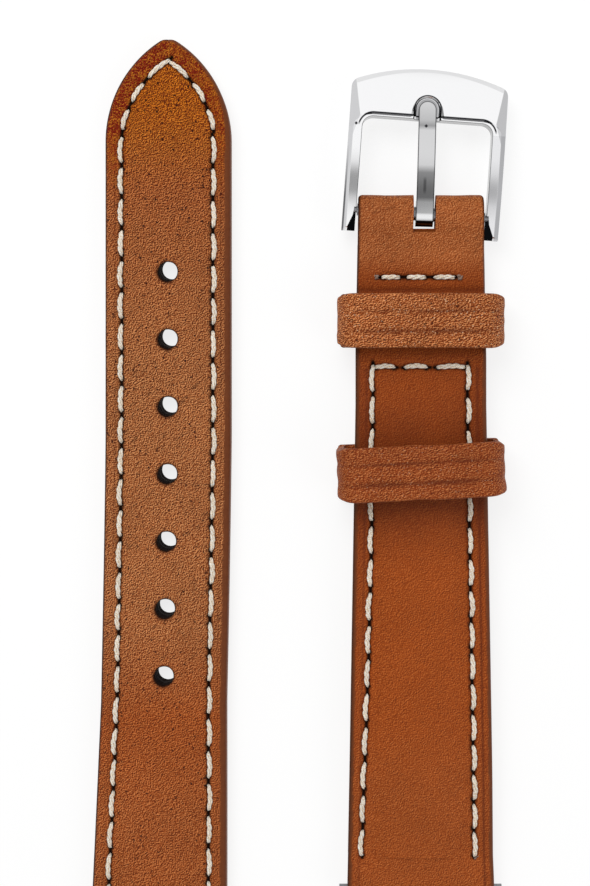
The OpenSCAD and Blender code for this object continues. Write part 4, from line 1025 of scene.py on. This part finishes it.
def strand(path, width, up, turns, phase, plies=3, sides=7):
    """Twisted plies along a path. width is the thread's radius at each point of it."""
    tangent = unit(np.gradient(path, axis=0))
    side = unit(np.cross(tangent, up))
    over = np.cross(side, tangent)
    width, t = width[:, None], np.linspace(0, 1, len(path))[:, None]
    parts = []
    for k in range(plies):
        a = 2 * math.pi * (k / plies + turns * t) + phase
        centre = path + 0.56 * width * (np.cos(a) * side + 0.85 * np.sin(a) * over)
        parts.append(tube(centre, 0.5 * width, side, over, sides))
    return parts


def stitch_parts(stitches, surface, over, radius, bulge, seed):
    """Stitches that lie on surface(x, y), on its upper side where over is 1 and below where it is -1."""
    t = np.linspace(0, 1, 26)
    round_end = np.abs(2 * t - 1)
    rise = over * (radius * 0.34 - 0.5 * round_end ** 9)
    parts = []
    for k, (p, q, side) in enumerate(stitches):
        p, q = np.array(p, float), np.array(q, float)
        length = np.linalg.norm(q - p)
        d = (q - p) / length
        out = np.array([-d[1], d[0]])
        if out[0] * side < 0:
            out = -out
        jitter = noise(k * 3.7 + np.arange(4), seed, 31) - 0.5
        belly = np.sin(math.pi * t ** (1.15 + 0.5 * jitter[0])) ** 0.8 * bulge * (1 + 0.6 * jitter[1])
        x, y = (p + d * (length * (t[:, None] * 1.04 - 0.02)) + out * belly[:, None]).T
        width = radius * (0.42 + 0.58 * np.sqrt(1 - round_end ** 2.6)) * (1 + 0.1 * jitter[2])
        path = np.stack([x, y, surface(x, y) + rise], -1)
        parts += strand(path, width, over * UP, length / 2.4, 6.28 * jitter[3] + k)
    return parts


def face_z(half, x, y):
    """Height of a half's upper face in the thread's bed."""
    return half.edge_z(y) + UPPER_T + dome(half, x, y) - 0.12


def threads(name, half, stitches, nodes, bulge, extra=()):
    """A half's stitches on both sides, with extra parts that are soiled."""
    parts = stitch_parts(stitches, lambda x, y: face_z(half, x, y), 1, 0.275, bulge, 1)
    parts += stitch_parts(stitches, lambda x, y: half.base_z(y) + 0.3, -1, 0.22, 0.03, 2)
    points, faces = joined(parts + list(extra))
    dark = np.zeros(len(points))
    dark[len(points) - sum(len(p) for p, _ in extra):] = 0.8
    new_object(name, (points, faces, {"dark": dark}), THREAD, half.body, nodes, 80)


def sealed_ends():
    """Melted thread ends at both ends of the row behind the buckle."""
    t = np.linspace(0, 1, 12)
    width = 0.33 * np.sqrt(np.maximum(1 - (2 * t - 1) ** 4, 0.08))
    parts = []
    for (x0, y0), (x1, _), _ in CROSS_ENDS:
        x, y = x0 + (x1 - x0) * t, np.full_like(t, y0)
        path = np.stack([x, y + 0.05 * np.sin(9 * t), face_z(SHORT, x, y) + 0.1], -1)
        parts += strand(path, width, UP, 0.4, x0, 2)
    return parts


def frayed_end():
    """Loose fibres where the right row ends, beside the lugs."""
    end = SHORT_SIDES[-1][1]
    t = np.linspace(0, 1, 9)
    parts = []
    for k in range(7):
        a = -1.9 + 0.42 * k
        reach = 0.5 + 0.35 * noise(k * 1.7, 2, 41)
        x = end[0] + 0.05 + t * reach * math.cos(a) * 0.8
        y = end[1] - 0.15 + t * reach * math.sin(a) * 0.7
        z = face_z(SHORT, x, y) + 0.06 + 0.1 * np.sin(3.0 * t) * noise(k, 5, 42)
        parts += strand(np.stack([x, y, z], -1), 0.05 * (1 - 0.5 * t), UP, 0.8, k, 2, 5)
    return parts


# Keepers
KEEPER_T = 0.95
KEEPER_CROWN = 0.25
# Points across a keeper's outer face with its rounded edges, and across its inner face
OUTER_COUNT, INNER_COUNT = 61, 9


def keeper_path(half, low, high, r_low, r_high):
    """A keeper's inner face and its outward directions, from the middle of its floor all the way round."""
    def arc(x, z, r, start):
        angles = np.radians(np.arange(start, start + 90.1, 6))
        return [(x + r * math.cos(a), z + r * math.sin(a), math.cos(a), math.sin(a)) for a in angles]

    floor_places = [0, *np.linspace(0.12, 0.92, 10)]
    rows = [(0.1 + f * (half - r_low - 0.1), low, 0, -1) for f in floor_places]
    rows += arc(half - r_low, low + r_low, r_low, 270)
    rows += [(half, low + r_low + f * (high - low - r_low - r_high), 1, 0) for f in (0.33, 0.66)]
    rows += arc(half - r_high, high - r_high, r_high, 0)
    rows += [(u * (half - r_high), high + KEEPER_CROWN * (1 - u * u), 0, 1) for u in np.linspace(0.94, 0, 13)]
    right = np.array(rows)
    return np.concatenate([right, right[-2::-1] * (-1, 1, -1, 1)])


def keeper(name, body, nodes, low, high, r_low, floor_t, skew, y0, seed, soil):
    path = keeper_path(KEEPER_HW, low, high, r_low, 1.6)
    x, z, nx, nz = path.T[:, :, None]
    s = np.concatenate([[0], np.cumsum(np.hypot(*np.diff(path[:, :2], axis=0).T))])[:, None]
    half = KEEPER_L / 2

    def ringed(outside, within):
        """Values of all rings, from those across the outer face and those across the inner face."""
        return np.concatenate([np.broadcast_to(outside, (len(path), OUTER_COUNT)),
                               np.broadcast_to(within, (len(path), INNER_COUNT))], 1)

    outer = np.linspace(1, -1, OUTER_COUNT)
    # The share of the full thickness: a keeper with a skived floor is thinner there
    w = np.clip((nz + 1) * 1.2, 0, 1) if floor_t < KEEPER_T else 1 + 0 * nz
    lump = sway(outer * 2.2 + 5, s * 0.45, seed, 0.14) + sway(outer * 5, s * 1.3, seed + 1, 0.06)
    drift = sway(s * 0.12, 3, seed + 2, 0.3)
    upper, lower = outer * half - 1.0 - drift * 0.5, outer * half + 1.15 - drift * 0.5
    fade = np.maximum(nz, 0) ** 1.5 * (1 - 0.75 * (np.abs(x) / KEEPER_HW) ** 3)
    grooves = (0.1 * bump(upper, 0.26) + 0.14 * bump(lower, 0.32)) * fade
    ribs = 0.025 * np.cos(outer * half * 2.9) * w
    height = (floor_t + (KEEPER_T - floor_t) * w - edge_drop(3 * (1 - np.abs(outer)), 0.3) + ribs + lump * w
              - grooves - 0.02)
    waver = sway(s * 0.5, 7, seed + 3, 0.12) * w
    width = outer * (half - 0.03 - 0.35 * np.abs(nx) ** 5 * (nz > -0.5)) + waver * np.abs(outer)
    across = ringed(width, np.linspace(-1, 1, INNER_COUNT) * (half - 0.12))
    heights = ringed(height, [0.1] + [0] * (INNER_COUNT - 2) + [0.1])
    points, faces = sweep(np.stack([x + nx * heights, across, z + nz * heights], -1))
    # Painted shade in crevices where the keeper's face looks up: along its two grooves and in a few crease
    # lines of no depth, added to its own soiled and patchy tone; its inner face is painted darker too
    crevice = bump(upper, 0.16) * 0.7 + bump(lower, 0.22) * 0.9
    for at in (1.5, 0.72, -0.78, -1.5, -2.1):
        depth = np.maximum(noise(s * 0.35, at * 3, seed + 6) - 0.35, 0)
        crevice += 0.8 * bump(outer * half - at + drift * 0.4, 0.07) * depth
    tone_and_shade = soil + crevice * fade * (0.6 + 0.8 * noise(outer * 3, s * 0.6, seed + 4))
    tone_and_shade += 0.12 * noise(outer * 1.3, s * 0.3, seed + 5)
    edge = 0.35 * ease(np.abs(outer), 0.95, 1)
    values = {"edge": ringed(edge, 0.15), "grainy": ringed(0.9 - 1.2 * soil, 0.9 - 1.2 * soil),
              "tone_and_shade": ringed(np.clip(tone_and_shade, 0, 1), 0.4)}
    # The middles of the two ends take no values
    values = {key: np.append(v, [0, 0]) for key, v in values.items()}
    made = turned(points, skew, (KEEPER_X, y0, 0)), faces, values
    new_object(name, made, SOILED if soil else KEEPER, body, nodes, 60)


def coil(name, body, nodes, centre, skew, half):
    """A wound spring inside a bar."""
    wire, tube_r = 0.09, 0.62
    end = half - 0.5 - 0.05 - 0.55 - 0.03 - wire
    curls, per = 12, 20
    k = np.arange(curls * per + 1)
    a = 2 * math.pi * k / per
    out = np.stack([0 * a, np.cos(a), np.sin(a)], -1)
    path = out * (tube_r - wire - 0.06)
    path[:, 0] = end * (2 * k / k[-1] - 1)
    lie = np.cross(unit(np.gradient(path, axis=0)), out)
    points, faces = tube(path, wire, out, lie, 10)
    new_object(name, (turned(points, -skew, centre), faces, {}), SPRING_STEEL, body, nodes, 80)


long_upper()
plain_sheet("long_lining_leather", LONG, hole_rows(TIP_Y, LONG_BAR_Y + LUG_CLOSE, 0.3), 0, LINING_T, LINING,
            ["long_lining"], HOLE_YS, LONG_STITCHES)
plain_sheet("long_interlining_board", LONG, hole_rows(TIP_Y - 0.02, LONG_BAR_Y + LUG_FLAP + 0.6, 0.8), BOARD_Z,
            BOARD_Z + LONG_MID_T, FIBRE, ["long_interlining"], HOLE_YS, inset=BOARD_INSET)
padding("long_padding_core", LONG, np.arange(-13.2, LONG_BAR_Y + LUG_CLOSE, -0.8), ["long_padding"])
threads("long_thread", LONG, LONG_STITCHES, ["long_stitching"], BULGE)

short_upper()
lug_y = SHORT_BAR_Y + LUG_CLOSE
plain_sheet("short_lining_leather", SHORT, np.arange(FOLD_Y - 3.8, lug_y, -0.3), 0, LINING_T, LINING,
            ["short_lining"], under=SHORT_STITCHES)
flap_y = SHORT_BAR_Y + LUG_FLAP + 0.6
plain_sheet("short_interlining_board", SHORT, np.arange(MID_TOP_Y - 0.05, flap_y, -0.5), BOARD_Z,
            BOARD_Z + SHORT_MID_T, FIBRE, ["short_interlining"], inset=BOARD_INSET)
padding("short_padding_core", SHORT, np.arange(SHORT_PAD_Y - 0.6, lug_y, -0.6), ["short_padding"])
threads("short_thread", SHORT, SHORT_SIDES + U_ROW, ["short_stitching"], BULGE, frayed_end())
threads("cross_thread", SHORT, CROSS_ROW, ["cross_stitching"], 0.04, sealed_ends())

fixed_low = SHORT_BASE + LINING_T + GLUE + FLAP_T
fixed_high = SHORT_BASE + FOLD_EDGE_Z + UPPER_T + 2.45 + 0.4
keeper("fixed_keeper_leather", "short_half", ["fixed_keeper"], fixed_low, fixed_high, 0.6, FLAP_T, 0,
       FIXED_KEEPER_Y, 50, 0.0)
free_high = SHORT_BASE + BODY_EDGE_Z + UPPER_T + float(short_pad(FREE_KEEPER_Y)) + GLUE + 2.85
keeper("free_keeper_leather", "free_keeper", ["free_keeper"], 0.95, free_high, 0.8, KEEPER_T, 2.5,
       FREE_KEEPER_Y, 70, 0.35)

long_bar_x = float(long_cx(LONG_BAR_Y))
for bar, centre, skew, bar_end in (("long_bar", (long_bar_x, LONG_BAR_Y, LOOP_OUT), 0, LUG_HW),
                                   ("short_bar", (SHORT_X, SHORT_BAR_Y, LOOP_OUT), 0, LUG_HW),
                                   ("buckle_bar", (SHORT_X, BUCKLE_Y, BUCKLE_Z), BUCKLE_SKEW, 6.95)):
    coil(f"{bar}_coil", bar, [f"{bar}_spring"], centre, skew, bar_end - 1.25)

# The buckle, the tubes and the tips are the CAD nodes themselves
for node, obj in frame["nodes"].items():
    steel = {"buckle_frame": CHROME, "buckle_tongue": TONGUE_STEEL}.get(node)
    if steel is None and "_tube" not in node and "_tip_" not in node:
        continue
    obj.data.materials.clear()
    obj.data.materials.append(steel or BAR_STEEL)
    obj.data.polygons.foreach_set("use_smooth", np.ones(len(obj.data.polygons), bool))
    obj.data.set_sharp_from_angle(angle=math.radians(30))
    if steel:
        soften = obj.modifiers.new("soft_edges", "BEVEL")
        soften.width = 0.2 * MM
        soften.harden_normals = True
        soften.segments = 3
        soften.limit_method = "ANGLE"
        soften.angle_limit = math.radians(30)


# Floor, light and camera
WHITE = (1, 1, 1, 1)


def floor():
    """Pale floor: white to the camera and in mirrors but for the shadow, and plain to scattered light."""
    m = Surface("pale_floor")
    m.set(Base_Color=(0.9, 0.9, 0.9, 1), Roughness=0.9, Specular_IOR_Level=0.0)
    glow = m.node("Emission", {"Strength": 0.8})
    shade = m.node("BsdfDiffuse", {"Color": (0.24, 0.24, 0.24, 1)})
    seen = m.most(m.ray("Is Camera Ray"), m.ray("Is Glossy Ray"), m.ray("Is Transmission Ray"))
    m.show(m.between(seen, m.shader, m.node("AddShader", {0: glow, 1: shade})))
    mesh = bpy.data.meshes.new("floor")
    s = 3.0
    z = -0.05 * MM
    mesh.from_pydata([(-s, -s, z), (s, -s, z), (s, s, z), (-s, s, z)], [], [(0, 1, 2, 3)])
    mesh.materials.append(m.owner)
    obj = placed("floor", mesh)


def lamp(name, place, target, size, power):
    data = bpy.data.lights.new(name, "AREA")
    data.shape = "RECTANGLE"
    data.size, data.size_y = size
    data.energy = power
    obj = placed(name, data)
    obj.location = place
    obj.visible_glossy = False
    obj.rotation_mode = "QUATERNION"
    obj.rotation_quaternion = (Vector(target) - Vector(place)).to_track_quat("-Z", "Y")


# What polished steel mirrors: grey level at each angle from straight above, in degrees
STUDIO = [(0, 0.34), (3.5, 0.36), (8, 0.85), (13, 1.0), (42, 1.0), (50, 0.76), (60, 0.84), (66, 0.84),
          (72, 0.78), (80, 0.45), (90, 0.16)]


def world():
    """White to the camera, the studio's bands in mirrors, and dim to scattered light."""
    made = bpy.data.worlds.new("studio")
    bpy.context.scene.world = made
    w = Nodes(made, "OutputWorld")
    angle = w.math("ARCCOSINE", w.split(w.node("TexCoord", output="Generated"))[2])
    bands = w.grey(angle / (math.pi / 2), *[(degrees / 90, v) for degrees, v in STUDIO])
    plain = w.node("Background", {"Color": WHITE, "Strength": 0.4})
    shiny = w.node("Background", {"Color": bands})
    white = w.node("Background", {"Color": WHITE})
    w.show(w.between(w.ray("Is Camera Ray"), w.between(w.ray("Is Glossy Ray"), plain, shiny), white))


def camera():
    # The photo's plane of 9.19 px to the millimetre lies at the height of the leather's face
    wide, tall, scale = 590, 886, 9.19
    plane, distance, sensor = 2.5, 205.0, 36
    foot = (4.0, 28.0)
    # The frame's origin in the photo, in pixels
    origin = (286.7, 591.5)
    middle = ((wide / 2 - origin[0]) / scale, (origin[1] - tall / 2) / scale)
    field = tall / scale
    data = bpy.data.cameras.new("camera")
    data.sensor_width = sensor
    data.sensor_fit = "AUTO"
    data.lens = sensor * distance / field
    data.shift_x = (middle[0] - foot[0]) / field
    data.shift_y = (middle[1] - foot[1]) / field
    data.clip_start = 0.01
    data.clip_end = 10
    obj = placed("camera", data)
    obj.location = (foot[0] * MM, foot[1] * MM, (plane + distance) * MM)
    bpy.context.scene.camera = obj


floor()
world()
lamp("key", (-0.12, 0.25, 0.42), (0, 0.015, 0), (0.3, 0.3), 1.25)
lamp("fill", (0.3, -0.12, 0.3), (0, 0.015, 0), (0.25, 0.25), 0.25)
camera()
bpy.context.scene.view_settings.view_transform = "Standard"
